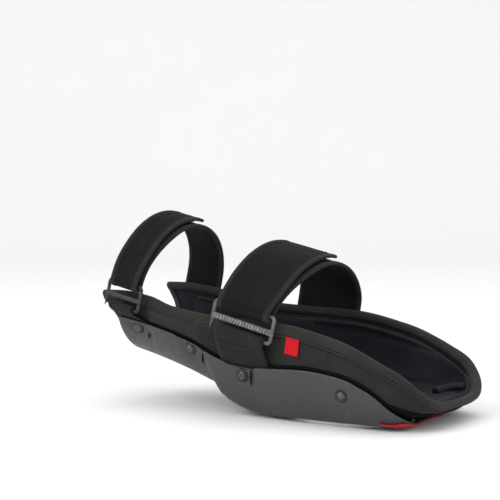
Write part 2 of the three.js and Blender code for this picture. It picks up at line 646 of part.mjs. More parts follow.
function addStrap(name, strap) {
  const group = strapGroup(strap);
  const wide = widening(strap.main, 0.3);
  const mainWidth = (t) => wide(Math.max(1 - t - FOLD_SHARE, 0));
  add(`${name}_buckle`, buckle(strap), "buckle", group);
  add(`${name}_strap`, band(mainPath(strap), PLY, mainWidth), "strap", group);
  add(`${name}_strap_tail`, band(tailPath(strap), PLY, widening(strap.tail, 0.25)), "strap", group);
  // Loop fabric on the main ply and hooks under the tail, each a thin patch.
  const patch = (out) => {
    const path = archPath(strap, out, CLOSED_FROM - 2, strap.tailEnd + 6, 10);
    return band(path, PILE, () => strap.tail[1] - PATCH_INSET);
  };
  add(`${name}_loop_patch`, patch(PLY / 2 + PILE / 2 + GAP), "hook", group);
  add(`${name}_hook_patch`, patch(CLOSED_OUT - PLY / 2 - PILE / 2 - GAP), "hook", group);
  add(`${name}_tab_near`, nearTab(strap), "webbing");
  add(`${name}_tab_far`, farTab(strap), "webbing");
}

addShell();
addSole();
addBadge();
addRivets();
addCradle();
addComfortPad();
addBindings();
addWallPieces();
Object.entries(STRAPS).forEach(([name, strap]) => addStrap(name, strap));

export default model;
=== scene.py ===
"""The looks of a knee pad: a riveted hard shell, a padded textile cradle and two buckled calf straps."""

import math

import bmesh
import bpy
import numpy as np
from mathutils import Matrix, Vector


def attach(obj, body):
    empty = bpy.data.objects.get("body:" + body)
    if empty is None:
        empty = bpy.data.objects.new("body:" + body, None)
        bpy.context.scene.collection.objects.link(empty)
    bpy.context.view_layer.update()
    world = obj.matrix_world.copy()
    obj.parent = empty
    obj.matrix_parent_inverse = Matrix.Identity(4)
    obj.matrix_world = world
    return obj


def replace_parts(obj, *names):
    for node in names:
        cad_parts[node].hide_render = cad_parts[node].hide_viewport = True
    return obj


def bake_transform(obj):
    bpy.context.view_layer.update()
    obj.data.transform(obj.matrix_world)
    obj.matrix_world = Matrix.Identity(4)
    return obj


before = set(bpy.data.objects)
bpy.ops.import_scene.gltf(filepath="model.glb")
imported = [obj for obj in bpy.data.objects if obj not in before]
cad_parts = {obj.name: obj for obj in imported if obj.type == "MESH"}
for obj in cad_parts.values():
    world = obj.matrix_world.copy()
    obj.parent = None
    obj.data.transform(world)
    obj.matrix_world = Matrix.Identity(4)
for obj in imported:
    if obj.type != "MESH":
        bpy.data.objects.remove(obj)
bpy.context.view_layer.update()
MM = 0.001
NEAR, FAR = -1, 1
SIDES = ((NEAR, "near"), (FAR, "far"))
EDGES = ((-1, "rear"), (1, "front"))

# ---- The pad's measures, in millimetres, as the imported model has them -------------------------
FAN_X = 30  # where the side ribs end and the rounded front begins
FRONT_X = 109
SHELL_REAR_X = -240
CRADLE_REAR_X = -243
REAR_SWEEP = 15  # how much further back the padding reaches at the rim
SWEEP_FROM = 0.45  # the share of the height from which it sweeps back
PLAN_POWER = 3.8
DEPTH_RATIO = 0.75
SHELL = (0, 2.6)
TAB = (3.1, 4.3)
BINDING_OUT = 5
COVER = (6.2, 7.3)
FOAM = (7.6, 12.1)
LINING = (12.4, 13.1)
COMFORT_PAD = (13.5, 17)
BINDING_IN = 14.6
STEP = (-129, -118)  # the rear face of the knee cap's thick foot
FOOT_FLAT = (0.45, 0.75)  # how far out the foot is flat, at the front and at the sides, as a rib's share
FOOT_ROUND = 0.22  # the share of a rib over which the foot then rises into the wall
SHIN_TILT = math.radians(13)
PLY = 2.8
WEB = PLY - 0.3  # a ply's knitted web, inside its edging
FOLD = 4.7  # middle radius of a strap's fold round its bar
SLEEVE = 3.8  # middle radius of a tab's sleeve round its bar
STRAPS = {
    "lower": dict(
        centre=(-221, 0, 129), arch=53, base=-10, near=68.4, far=70.5, bars=(-32.5, -22, -7), slot=35,
        tail=(32, 34.5), main=(32, 44), far_end=-28, tail_end=76, tab=(-240, -207),
        seams=(0.10, 0.24), seam_lean=0, metal="black_metal", crossbar=2,
    ),
    "upper": dict(
        centre=(-79, 0, 102), arch=50.5, base=-30, near=80.9, far=84.6, bars=(-22.2, -11.7, 3.3), slot=62,
        tail=(57, 60.5), main=(57, 72), far_end=-32, tail_end=80, tab=(-112, -57),
        seams=(0.80, 0.93), seam_lean=0.05, metal="gunmetal", crossbar=2.9,
    ),
}
TAIL_OUT = 2 * FOLD  # a tail leaves its bar this far out of the main ply
CLOSED_OUT = 5.6  # and lies this far out where hooks and loops meet
CLOSED_FROM = 142  # the angle on the arch from where they meet
RIVETS = [(-217, 77), (-150, 61), (-87, 41), (22, 31)]


def smooth(t):
    """An even step from 0 to 1."""
    t = np.clip(t, 0, 1)
    return t * t * (3 - 2 * t)


def curve_through(points):
    """A smooth curve through points (x, y), read as y of x, that never overshoots its points."""
    xs, ys = np.array(points, float).T
    slope = np.diff(ys) / np.diff(xs)
    both = slope[:-1] * slope[1:]
    inner = np.where(both > 0, 2 * both / np.where(both > 0, slope[:-1] + slope[1:], 1), 0)
    tangent = np.concatenate([slope[:1], inner, slope[-1:]])

    def at(x):
        x = np.clip(x, xs[0], xs[-1])
        i = np.clip(np.searchsorted(xs, x) - 1, 0, len(xs) - 2)
        h = xs[i + 1] - xs[i]
        t = (x - xs[i]) / h
        return (ys[i] * (2 * t**3 - 3 * t**2 + 1) + ys[i + 1] * (3 * t**2 - 2 * t**3)
                + h * (tangent[i] * (t**3 - 2 * t**2 + t) + tangent[i + 1] * (t**3 - t**2)))

    return at


half_width = curve_through([(-260, 66), (-225, 68), (-180, 73), (-120, 80), (-80, 82), (-45, 84.5), (30, 87)])
spine_height = curve_through([(-260, 54), (-240, 48), (-223, 44), (-176, 31.5), (-142, 20.5), (-120, 15),
                              (-85, 8), (-50, 3)])
cap_height = curve_through([(-118, 19), (-110, 14), (-96, 8), (-80, 4.5), (-60, 3)])
rim_height = curve_through([
    (-259, 99), (-252, 109), (-240, 113), (-204, 109), (-176, 101), (-127, 95), (-45, 91.5), (10, 81),
    (42, 70), (61, 62), (81, 53), (94, 42), (109, 24),
])
shell_edge = curve_through([
    (-240, 88), (-197, 80.5), (-148, 68.5), (-123, 58), (-100, 51.5), (-76, 49.5), (-20, 51.3), (13, 48.2),
    (34, 43), (55, 32.4), (74, 18.4), (92, 9.8), (102, 6.6), (109, 5.4),
])
squareness = curve_through([(-260, 2.2), (-150, 2.4), (-100, 3.6), (-40, 4.5)])
FRONT_SQUARENESS = 2.4


class Ribs:
    """A row of ribs of the trough, each from the spine to the rim. side is -1 or 1, and turn is 90 degrees
    on the straight sides and falls to 0 at the middle of the rounded front."""

    def __init__(self, foot, turn, side):
        self.foot, self.side = np.array(foot, float)[:, None], np.array(side, float)[:, None]
        turn = np.array(turn, float)[:, None]
        fan = turn < math.pi / 2 - 1e-6
        self.cos = np.where(fan, np.abs(np.cos(turn)) ** (2 / PLAN_POWER), 0)
        self.sin = np.where(fan, np.abs(np.sin(turn)) ** (2 / PLAN_POWER), 1)
        self.rim_x = np.where(fan, FAN_X + (FRONT_X - FAN_X) * self.cos, self.foot)
        self.spine, self.cap = spine_height(self.foot), cap_height(self.foot)
        self.cap_share = np.clip((self.foot - STEP[0]) / (STEP[1] - STEP[0]), 0, 1)
        self.rim, self.edge = rim_height(self.rim_x), shell_edge(self.rim_x)
        blend = smooth(turn / (math.pi / 2))
        self.power = FRONT_SQUARENESS + (squareness(self.foot) - FRONT_SQUARENESS) * blend
        self.flat = FOOT_FLAT[0] + (FOOT_FLAT[1] - FOOT_FLAT[0]) * blend
        self.sweep = REAR_SWEEP * np.clip((SHELL_REAR_X - self.foot) / (SHELL_REAR_X - CRADLE_REAR_X), 0, 1)

    def share(self, z, off=0):
        """Share of the rib's height at a height z."""
        spine = self.spine + off * DEPTH_RATIO
        return np.clip((z - spine) / (self.rim - spine), 0, 1)

    def share_at(self, out):
        """Share of the rib's height at a share of its way outwards."""
        return 1 - (1 - out**self.power) ** (1 / self.power)

    def climb(self, top, rows):
        """Shares from the spine up to a top share, at even angles, for rows from 0 to 1."""
        angle = np.arccos((1 - top) ** (self.power / 2))
        return 1 - np.cos(angle * rows) ** (2 / self.power)

    def at(self, share, off, foot=1.0):
        """Points at a share of the height and a depth below the mould surface."""
        spine = self.spine + off * DEPTH_RATIO
        out = (1 - (1 - share) ** self.power) ** (1 / self.power)
        back = self.sweep * smooth((share - SWEEP_FROM) / (1 - SWEEP_FROM))
        x = self.foot + (FRONT_X - off - FAN_X) * self.cos * out - back
        y = self.side * (half_width(self.foot) - off) * self.sin * out
        wall = spine + (self.rim - spine) * share
        floor = np.minimum(wall, self.cap + off * DEPTH_RATIO)
        fade = 1 - smooth((out - self.flat) / FOOT_ROUND)
        z = wall + (floor - wall) * foot * self.cap_share * fade
        return np.stack(np.broadcast_arrays(x, y, z), -1)

    def line(self, z, off, foot=1.0):
        """A point of each rib at a height z and a depth below the mould surface."""
        return self.at(self.share(z, off), off, foot)[:, 0]


def trough_ribs(rear, step=3.0, fan=26, extra=()):
    """Ribs from the near rear end round the front to the far rear end. extra are more X positions."""
    xs = sorted({*np.arange(FAN_X - step, rear, -step), rear, *extra}, reverse=True)
    foot = [FAN_X] * (fan + 1) + xs
    turn = list(np.linspace(0, math.pi / 2, fan + 1)) + [math.pi / 2] * len(xs)
    n = len(foot)
    return Ribs(foot[:0:-1] + foot, turn[:0:-1] + turn, [NEAR] * (n - 1) + [FAR] * n)


def side_ribs(xs, side):
    """Ribs on one straight side of the trough."""
    return Ribs(xs, [math.pi / 2] * len(xs), [side] * len(xs))


# ---- Meshes ---------------------------------------------------------------------------
def lengths(points, axis):
    """Distance along a grid of points, from its start."""
    steps = np.linalg.norm(np.diff(points, axis=axis), axis=-1)
    zero = np.zeros_like(np.take(steps, [0], axis=axis))
    return np.concatenate([zero, np.cumsum(steps, axis=axis)], axis=axis)


def read_at(values, at, d):
    """Rows of values at distances d, from rows that are known at distances at."""
    return np.stack([np.interp(d, at, column) for column in values.T], -1)


def spaced_line(points, step):
    """More points along a polyline, a step apart."""
    points = np.array(points, float)
    at = lengths(points[:, None], 0)[:, 0]
    return read_at(points, at, np.linspace(0, at[-1], max(int(at[-1] / step), 2)))


def circle(count):
    """Angles of evenly spaced points round a circle."""
    return np.linspace(0, 2 * math.pi, count, endpoint=False)


def mesh_object(name, verts, faces, uvs=None, material=None, slot=None, merge=0.0):
    """A smooth-shaded mesh object from points in millimetres. uvs has one (u, v) in millimetres per point."""
    mesh = bpy.data.meshes.new(name)
    mesh.from_pydata([tuple(v) for v in np.asarray(verts) * MM], [], [tuple(f) for f in faces])
    if uvs is not None:
        layer = mesh.uv_layers.new(name="UVMap")
        index = np.zeros(len(mesh.loops), int)
        mesh.loops.foreach_get("vertex_index", index)
        layer.data.foreach_set("uv", (np.asarray(uvs)[index] * MM).astype(np.float32).ravel())
    bm = bmesh.new()
    bm.from_mesh(mesh)
    if merge:
        bmesh.ops.remove_doubles(bm, verts=bm.verts, dist=merge * MM)
        bmesh.ops.dissolve_degenerate(bm, dist=merge * MM, edges=bm.edges)
    bmesh.ops.recalc_face_normals(bm, faces=bm.faces)
    bm.to_mesh(mesh)
    bm.free()
    mesh.polygons.foreach_set("use_smooth", [True] * len(mesh.polygons))
    obj = bpy.data.objects.new(name, mesh)
    bpy.context.scene.collection.objects.link(obj)
    if material:
        mesh.materials.append(material)
    return obj


def grid_faces(rows, columns, closed=False, start=0):
    """Quads of a grid whose points are counted row by row. closed joins the last column to the first."""
    faces = []
    for i in range(rows - 1):
        for k in range(columns if closed else columns - 1):
            a, b = start + i * columns + k, start + i * columns + (k + 1) % columns
            faces.append((a, b, b + columns, a + columns))
    return faces


def loop_solid(name, grid, **settings):
    """A solid from a grid of closed sections, with both ends capped."""
    n, k = grid.shape[:2]
    faces = grid_faces(n, k, closed=True)
    faces += [tuple(range(k))[::-1], tuple(range((n - 1) * k, n * k))]
    uvs = np.stack([lengths(grid, 0), lengths(grid, 1)], -1).reshape(-1, 2)
    return mesh_object(name, grid.reshape(-1, 3), faces, uvs, **settings)


def skin_solid(name, outer, inner, **settings):
    """A solid between two grids that share their last row and meet themselves along their first."""
    n, k = outer.shape[:2]
    faces = grid_faces(n, k) + grid_faces(n, k, start=n * k)
    for c in (0, n - 1):
        for r in range(k - 1):
            a, b = c * k + r, c * k + r + 1
            faces.append((a, b, b + n * k, a + n * k))
    points = np.concatenate([outer.reshape(-1, 3), inner.reshape(-1, 3)])
    along = np.broadcast_to(lengths(outer[:, -1:], 0), (n, k))
    uv = [np.stack([along, lengths(g, 1)], -1).reshape(-1, 2) for g in (outer, inner)]
    return mesh_object(name, points, faces, np.concatenate(uv), merge=0.02, **settings)


def normals_of(grid):
    """Unit normals of a grid of points."""
    along, up = np.gradient(grid, axis=0), np.gradient(grid, axis=1)
    n = np.cross(along, up)
    return n / np.maximum(np.linalg.norm(n, axis=-1, keepdims=True), 1e-9)


def trough_layer(name, ribs, top, depths, rows=36, foot=(1, 1), press=None, **settings):
    """A layer of the trough up to heights top, with a rounded upper edge. press moves points inwards."""
    radius = (depths[1] - depths[0]) / 2
    climb = np.linspace(0, 1, rows)[None, :]
    grids = []
    for sign, depth, has_foot in ((-1, depths[0], foot[0]), (1, depths[1], foot[1])):
        body = ribs.at(ribs.climb(ribs.share(top - radius), climb), depth, has_foot)
        phi = np.linspace(0, math.pi / 2, 5)[None, 1:]
        off = sum(depths) / 2 + sign * radius * np.cos(phi)
        lip = ribs.at(ribs.share(top - radius + radius * np.sin(phi), off), off, has_foot)
        grids.append(np.concatenate([body, lip], 1))
    outer, inner = grids
    inner[:, -1] = outer[:, -1]
    if press is not None:
        outer = outer - normals_of(outer) * press(outer)[..., None]
    return skin_solid(name, outer, inner, **settings)


def lathe(name, profile, place, **settings):
    """A turned part from (radius, height) points, placed by place(points)."""
    angles = circle(40)
    r, z = np.array(profile, float).T
    x, y, z = np.outer(r, np.cos(angles)), np.outer(r, np.sin(angles)), np.outer(z, np.ones(len(angles)))
    faces = grid_faces(len(profile), len(angles), closed=True)
    return mesh_object(name, place(np.stack([x, y, z], -1).reshape(-1, 3)), faces, merge=0.01, **settings)


def tube(name, line, out, radii, flat=1.0, sides=14, **settings):
    """A tube along a line, with a radius at each point and flat times that radius along out."""
    line = np.array(line, float)
    tangent = np.gradient(line, axis=0)
    tangent /= np.linalg.norm(tangent, axis=-1, keepdims=True)
    out = out - tangent * np.sum(out * tangent, axis=-1, keepdims=True)
    out /= np.linalg.norm(out, axis=-1, keepdims=True)
    side = np.cross(tangent, out)
    radii = np.broadcast_to(radii, len(line))[:, None]
    rings = [line + radii * (math.cos(a) * side + flat * math.sin(a) * out) for a in circle(sides)]
    return loop_solid(name, np.stack(rings, 1), **settings)


STITCH, STITCH_GAP, THREAD = 2.7, 1.5, 0.42  # length, gap and the thread's radius
STITCH_SHAPE = ((0, 0.25), (0.2, 0.85), (0.5, 1.0), (0.8, 0.85), (1, 0.25))  # shares of length and radius


def stitches(name, line, out, slot):
    """A row of thread stitches along a line of points, standing a little proud in the out directions."""
    at = lengths(line[:, None], 0)[:, 0]
    sides = circle(6)
    verts, faces = [], []
    for begin in np.arange(STITCH_GAP, at[-1] - STITCH, STITCH + STITCH_GAP):
        start = len(verts)
        for share, size in STITCH_SHAPE:
            d = begin + share * STITCH
            point, proud = read_at(line, at, d), read_at(out, at, d)
            across = np.cross(read_at(line, at, d + 0.2) - point, proud)
            across /= max(np.linalg.norm(across), 1e-9)
            ring = [math.cos(a) * across + 0.8 * math.sin(a) * proud for a in sides]
            verts += [point + THREAD * size * spoke for spoke in ring]
        faces += grid_faces(len(STITCH_SHAPE), len(sides), closed=True, start=start)
        faces += [tuple(range(start, start + 6)), tuple(range(start + 24, start + 30))]
    return mesh_object(name, verts, faces, material=M["thread"], slot=slot)


# ---- Materials ------------------------------------------------------------------------
class Finish:
    """A material under construction, with short names for its nodes."""

    def __init__(self, name, color, roughness, **sockets):
        self.material = bpy.data.materials.new(name)
        self.material.use_nodes = True
        self.tree = self.material.node_tree
        self.shader = self.tree.nodes["Principled BSDF"]
        self.color = (*color, 1)
        self.shader.inputs["Base Color"].default_value = self.color
        self.shader.inputs["Roughness"].default_value = roughness
        self.roughness = roughness
        for socket, value in sockets.items():
            self.shader.inputs[socket.replace("_", " ")].default_value = value
        self.normal = None

    def node(self, kind, inputs=(), **settings):
        made = self.tree.nodes.new("ShaderNode" + kind)
        for key, value in settings.items():
            setattr(made, key, value)
        for key, value in dict(inputs).items():
            if isinstance(value, bpy.types.NodeSocket):
                self.tree.links.new(value, made.inputs[key])
            else:
                made.inputs[key].default_value = value
        return made

    def math(self, operation, a, b=0.0):
        return self.node("Math", {0: a, 1: b}, operation=operation).outputs[0]

    def coords(self, kind="Object"):
        return self.node("TexCoord").outputs[kind]

    def noise(self, scale, detail=3.0, roughness=0.55, where=None):
        inputs = {"Scale": scale, "Detail": detail, "Roughness": roughness, "Vector": where or self.coords()}
        return self.node("TexNoise", inputs).outputs["Fac"]

    def remap(self, value, low, high, to_low=0.0, to_high=1.0):
        inputs = {0: value, 1: low, 2: high, 3: to_low, 4: to_high}
        return self.node("MapRange", inputs, interpolation_type="SMOOTHSTEP").outputs[0]

    def tint(self, factor, other):
        """Mixes another colour over the base colour by a factor, on top of what is there."""
        before = self.shader.inputs["Base Color"]
        base = before.links[0].from_socket if before.links else None
        made = self.node("Mix", {0: factor, 7: (*other, 1)}, data_type="RGBA")
        if base:
            self.tree.links.new(base, made.inputs[6])
        else:
            made.inputs[6].default_value = self.color
        self.tree.links.new(made.outputs[2], before)
        return self

    def bump(self, height, strength, distance):
        inputs = {"Strength": strength, "Distance": distance, "Height": height}
        if self.normal:
            inputs["Normal"] = self.normal
        self.normal = self.node("Bump", inputs).outputs["Normal"]
        self.tree.links.new(self.normal, self.shader.inputs["Normal"])
        return self

    def rough(self, value, low, high):
        self.tree.links.new(self.remap(value, 0.3, 0.7, low, high), self.shader.inputs["Roughness"])
        return self

    def threads(self, pitch, turn=0.0, ratio=1.0):
        """A plain weave of warp and weft from the surface's own lengths: 0 in the gaps, 1 on a thread."""
        turned = self.node("Mapping", {"Vector": self.coords("UV"), "Rotation": (0, 0, turn)})
        split = self.node("SeparateXYZ", {"Vector": turned.outputs[0]})
        u = self.math("MULTIPLY", split.outputs[0], math.pi / pitch / MM)
        v = self.math("MULTIPLY", split.outputs[1], math.pi / pitch / ratio / MM)
        warp, weft = (self.math("ABSOLUTE", self.math("SINE", w)) for w in (u, v))
        over = self.math("SINE", self.math("ADD", u, v))
        warp_top = self.math("MULTIPLY", warp, self.remap(over, -0.4, 0.4, 0.55, 1))
        weft_top = self.math("MULTIPLY", weft, self.remap(over, -0.4, 0.4, 1, 0.55))
        return self.math("MAXIMUM", warp_top, weft_top)


def moulded_plastic(name, color, light, roughness=0.46):
    """Satin moulded plastic: fine leather-like grain, cloudy sheen and, low down, lighter noisy patches that
    are a painted reflection of the pale floor.
    """
    f = Finish(name, color, roughness, Specular_IOR_Level=0.42)
    cloud = f.noise(14, 3)
    f.tint(f.remap(cloud, 0.35, 0.75, 0, 0.35), light)
    # Painted reflection of the pale floor: lighter patches, broken up by noise, that fade out between 12 and
    # 30 mm up.
    reflection_noise = f.noise(90, 6, 0.7)
    low = f.node("SeparateXYZ", {"Vector": f.coords()}).outputs[2]
    floor_reflection = f.math("MULTIPLY", f.remap(reflection_noise, 0.6, 0.68, 0, 0.5), f.remap(low, 0.012, 0.03, 1, 0.06))
    f.tint(floor_reflection, [min(1, c * 2.1) for c in light])
    f.rough(f.noise(220, 4), roughness - 0.06, roughness + 0.1)
    f.bump(f.noise(2600, 2), 0.16, 0.0002)
    return f.material


def woven(name, color, light, pitch, turn=0.0, ratio=1.0, depth=0.35, roughness=0.86, sheen=0.04):
    """Woven fabric: threads with a painted highlight on their crowns and painted shade in the gaps between
    them, lint and soft colour changes.
    """
    f = Finish(name, color, roughness, Sheen_Weight=sheen, Sheen_Roughness=0.45, Specular_IOR_Level=0.08)
    threads = f.threads(pitch, turn, ratio)
    # Painted highlight on the crowns of the threads.
    f.tint(f.remap(threads, 0.5, 0.95, 0, 0.9), [c * 1.25 for c in light])
    # Painted shade in the gaps between the threads.
    f.tint(f.remap(threads, 0.1, 0.55, 0.85, 0), [c * 0.25 for c in color])
    f.tint(f.remap(f.noise(35, 4), 0.4, 0.7, 0, 0.3), [c * 1.5 for c in light])
    f.bump(threads, depth, 0.0006)
    f.bump(f.noise(1400, 3), 0.12, 0.0003)
    return f.material


def knitted(name, color, light, roughness=0.9, sheen=0.04, scale=1500, strength=0.18):
    """A smooth knitted face, with fine loops in object space that need no unwrapping."""
    f = Finish(name, color, roughness, Sheen_Weight=sheen, Sheen_Roughness=0.4, Specular_IOR_Level=0.08)
    loops = f.node("TexVoronoi", {"Scale": scale, "Vector": f.coords()}).outputs["Distance"]
    f.tint(f.remap(f.noise(22, 4), 0.4, 0.7, 0, 0.5), light)
    f.tint(f.remap(loops, 0.35, 0.75, 0, 0.4), [c * 0.5 for c in color])
    f.bump(loops, strength, 0.0003)
    f.bump(f.noise(120, 3), 0.08, 0.001)
    return f.material


def brushed_metal(name, color, light, roughness=0.36, metallic=0.75):
    """Cast and tumbled metal: small pits, bright worn patches and darker recesses."""
    f = Finish(name, color, roughness, Metallic=metallic)
    f.tint(f.remap(f.noise(260, 4), 0.42, 0.62, 0, 0.8), light)
    f.rough(f.noise(600, 4), roughness - 0.08, roughness + 0.16)
    f.bump(f.noise(1800, 3), 0.14, 0.0002)
    return f.material


def rubber(name, color, dirt):
    """Pale non-marking rubber with dust in its pores."""
    f = Finish(name, color, 0.62, Specular_IOR_Level=0.3)
    f.tint(f.remap(f.noise(60, 5), 0.5, 0.75, 0, 0.5), dirt)
    f.rough(f.noise(300, 3), 0.5, 0.75)
    f.bump(f.noise(1500, 3), 0.2, 0.0003)
    return f.material


def hook_and_loop(name, color, light):
    """A brushed pile of loops."""
    f = Finish(name, color, 0.97, Sheen_Weight=0.4, Specular_IOR_Level=0.1)
    pile = f.noise(2400, 2)
    f.tint(f.remap(pile, 0.45, 0.7, 0, 0.8), light)
    f.bump(pile, 0.9, 0.0012)
    return f.material


DIAGONAL, BIAS, PIPING_BIAS = (math.radians(turn) for turn in (45, 40, 30))  # how the weaves are turned

M = {
    "shell": moulded_plastic("shell_plastic", (0.036, 0.036, 0.0385), (0.052, 0.052, 0.0545)),
    "sole": rubber("sole_rubber", (0.90, 0.90, 0.88), (0.76, 0.75, 0.72)),
    "badge": moulded_plastic("badge_red", (0.33, 0.004, 0.008), (0.40, 0.007, 0.011), 0.4),
    "rivet": brushed_metal("rivet_black", (0.045, 0.045, 0.048), (0.11, 0.11, 0.115), 0.3, 0.5),
    # Dark finish of the CAD washers, also used for the rivets' collars as a painted shadow ring round each
    # head.
    "washer": brushed_metal("washer_and_shadow_ring_black", (0.03, 0.03, 0.03), (0.05, 0.05, 0.05)),
    "cover": woven("cover_weave", (0.016, 0.0155, 0.015), (0.030, 0.029, 0.028), 1.0, DIAGONAL, 1, 0.5),
    "mesh": knitted("mesh_strand", (0.060, 0.059, 0.057), (0.085, 0.083, 0.081)),
    "foam": knitted("foam_cells", (0.03, 0.03, 0.033), (0.045, 0.045, 0.05), scale=900, strength=0.4),
    "lining": knitted("lining_knit", (0.014, 0.0142, 0.0185), (0.024, 0.024, 0.030)),
    "binding": woven("binding_tape", (0.016, 0.0148, 0.0142), (0.042, 0.039, 0.037), 1.3, BIAS, 0.8, 0.8),
    "webbing": woven("tab_webbing", (0.013, 0.0127, 0.0124), (0.023, 0.0224, 0.0218), 0.8, 0, 0.55),
    "strap": knitted("strap_knit", (0.010, 0.0095, 0.0097), (0.016, 0.0154, 0.0157), 0.9, 0.02, 1300, 0.22),
    "edging": woven("strap_edging", (0.014, 0.0135, 0.0135), (0.026, 0.0252, 0.0252), 1.1, 0, 0.7, 0.4),
    "thread": knitted("thread_black", (0.005, 0.0049, 0.005), (0.012, 0.0118, 0.012), 0.7),
    "hook_and_loop": hook_and_loop("hook_pile", (0.012, 0.012, 0.013), (0.03, 0.03, 0.032)),
    "gunmetal": brushed_metal("buckle_gunmetal", (0.085, 0.085, 0.088), (0.16, 0.16, 0.163), 0.42, 0.5),
    "grip": brushed_metal("buckle_grip", (0.20, 0.20, 0.205), (0.32, 0.32, 0.325), 0.42, 0.4),
    "black_metal": brushed_metal("buckle_black", (0.022, 0.022, 0.023), (0.055, 0.055, 0.057), 0.38, 0.4),
    # Near-black knit for pieces that stand in for shade: painted shadow in gaps, slits and openings.
    "painted_shade": knitted("painted_shade_black", (0.004, 0.004, 0.004), (0.007, 0.007, 0.007), 0.95, 0.0),
    # Lighter copy of the lining's knit for the toe fold: painted light on the raised fold.
    "fold": knitted("lining_knit_lit", (0.020, 0.020, 0.024), (0.034, 0.034, 0.040)),
    "piping": woven("piping_black", (0.010, 0.010, 0.012), (0.030, 0.030, 0.034), 1.0, PIPING_BIAS, 1, 0.5),
    "label": woven("label_red", (0.44, 0.005, 0.010), (0.48, 0.009, 0.014), 0.35, 0, 1, 0.25, 0.7, 0.05),
}


def look(material, slot=None):
    """Settings for a mesh: one of the materials, and a slot name, which mesh_object takes but does not use.
    """
    return {"material": M[material], "slot": slot or material}


# ---- The hard shell -------------------------------------------------------------------
# Each pocket round a rivet: distances in front of and behind the rivet, and its height.
POCKETS = [(-217, 18, 17, 20, 5), (-150, 19, 19, 24, 0), (-87, 14, 20, 24, 0)]
POCKET_DEPTH = 1.5
POCKET_SLANT = 0.55  # how far the rear end of a pocket runs forward as it goes down


def pocket_press(points):
    """How deep the moulded pockets round the rear rivets are at each point of the shell."""
    x, y, z = points[..., 0], points[..., 1], points[..., 2]
    below = shell_edge(x) - z
    press = np.zeros_like(x)
    for rivet, front, behind, high, start in POCKETS:
        along = x - rivet
        slant = along + behind - POCKET_SLANT * np.maximum(below, 0)
        length = smooth(slant / 7) * (1 - smooth((along - front) / 1.4))
        height = (1 - smooth((below - 0.5 * high) / (0.5 * high))) * smooth((below - start + 3) / 3)
        press = np.maximum(press, length * height)
    return POCKET_DEPTH * press


def wall_frame(x, z, side):
    """A function that places local points on the shell's side, with z along the outward normal."""
    def at(px, pz):
        rib = side_ribs([px], side)
        return rib.at(rib.share(pz), 0)[0, 0]

    point = at(x, z)
    along, up = at(x + 1, z) - point, at(x, z + 1) - point
    normal = np.cross(along, up) * -side
    normal /= np.linalg.norm(normal)
    along /= np.linalg.norm(along)
    return lambda local: point + local @ np.array([along, np.cross(normal, along), normal])


# Sections of a rivet's head and shank and of the collar round it, as (radius, height). The collar is dark as
# a painted shadow ring round the head.
RIVET = [(0, 2.5), (1.6, 2.4), (3.0, 2.0), (4.0, 1.3), (4.5, 0.6), (4.6, 0.1), (4.6, -0.9), (2.2, -1),
         (2.2, -10.9), (0, -11)]
COLLAR = [(4.5, -1.8), (4.5, 0.25), (5.2, 0.45), (6.1, 0.4), (6.6, 0.1), (6.6, -1.8), (4.5, -1.8)]


def make_shell():
    """The shell's skin, and its rivets, each with a domed head in a dark collar that is a painted shadow
    ring.
    """
    ribs = trough_ribs(SHELL_REAR_X, 2.5, extra=(*STEP, STEP[0] - 1, STEP[1] + 1))
    shell = trough_layer("hard_shell_skin", ribs, ribs.edge, SHELL, 48, press=pocket_press, **look("shell"))
    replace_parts(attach(shell, "pad"), "hard_shell")
    for side, word in SIDES:
        for i, (x, z) in enumerate(RIVETS):
            place = wall_frame(x, z, side)
            sunk = 0.6 * POCKET_DEPTH if i < len(POCKETS) else 0
            # The dark collar: a painted shadow ring round the head.
            collar = [(r, h - sunk) for r, h in COLLAR]
            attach(lathe(f"rivet_collar_{word}_{i + 1}", collar, place, **look("washer", "rivet")), "pad")
            head = [(r, h - sunk if h > -1 else h) for r, h in RIVET]
            rivet = lathe(f"rivet_head_{word}_{i + 1}", head, place, **look("rivet"))
            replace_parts(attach(rivet, "pad"), f"rivet_{word}_{i + 1}")


# Short slits in front of the rear rivets, as (top x, top drop below the edge, bottom x, bottom drop).
SLITS = [(-203, 9, -205, 15), (-132, 3, -136, 16), (-75, 1.5, -77, 16)]


# Moulded ridges at the step, as (x and share outwards at the start, then at the end).
RIDGES = [(-137, 0.45, -131, 0.05), (-116, 0.62, -104, 0.25)]
# The near-black strip of painted shadow in the gap over the shell's edge, as (depth, share of its height,
# drop below the edge).
GAP_STRIP = [(4.2, 0, 3), (4.2, 0.8, 0), (4.5, 1, 0), (5.9, 1, 0), (5.9, 0, 3)]


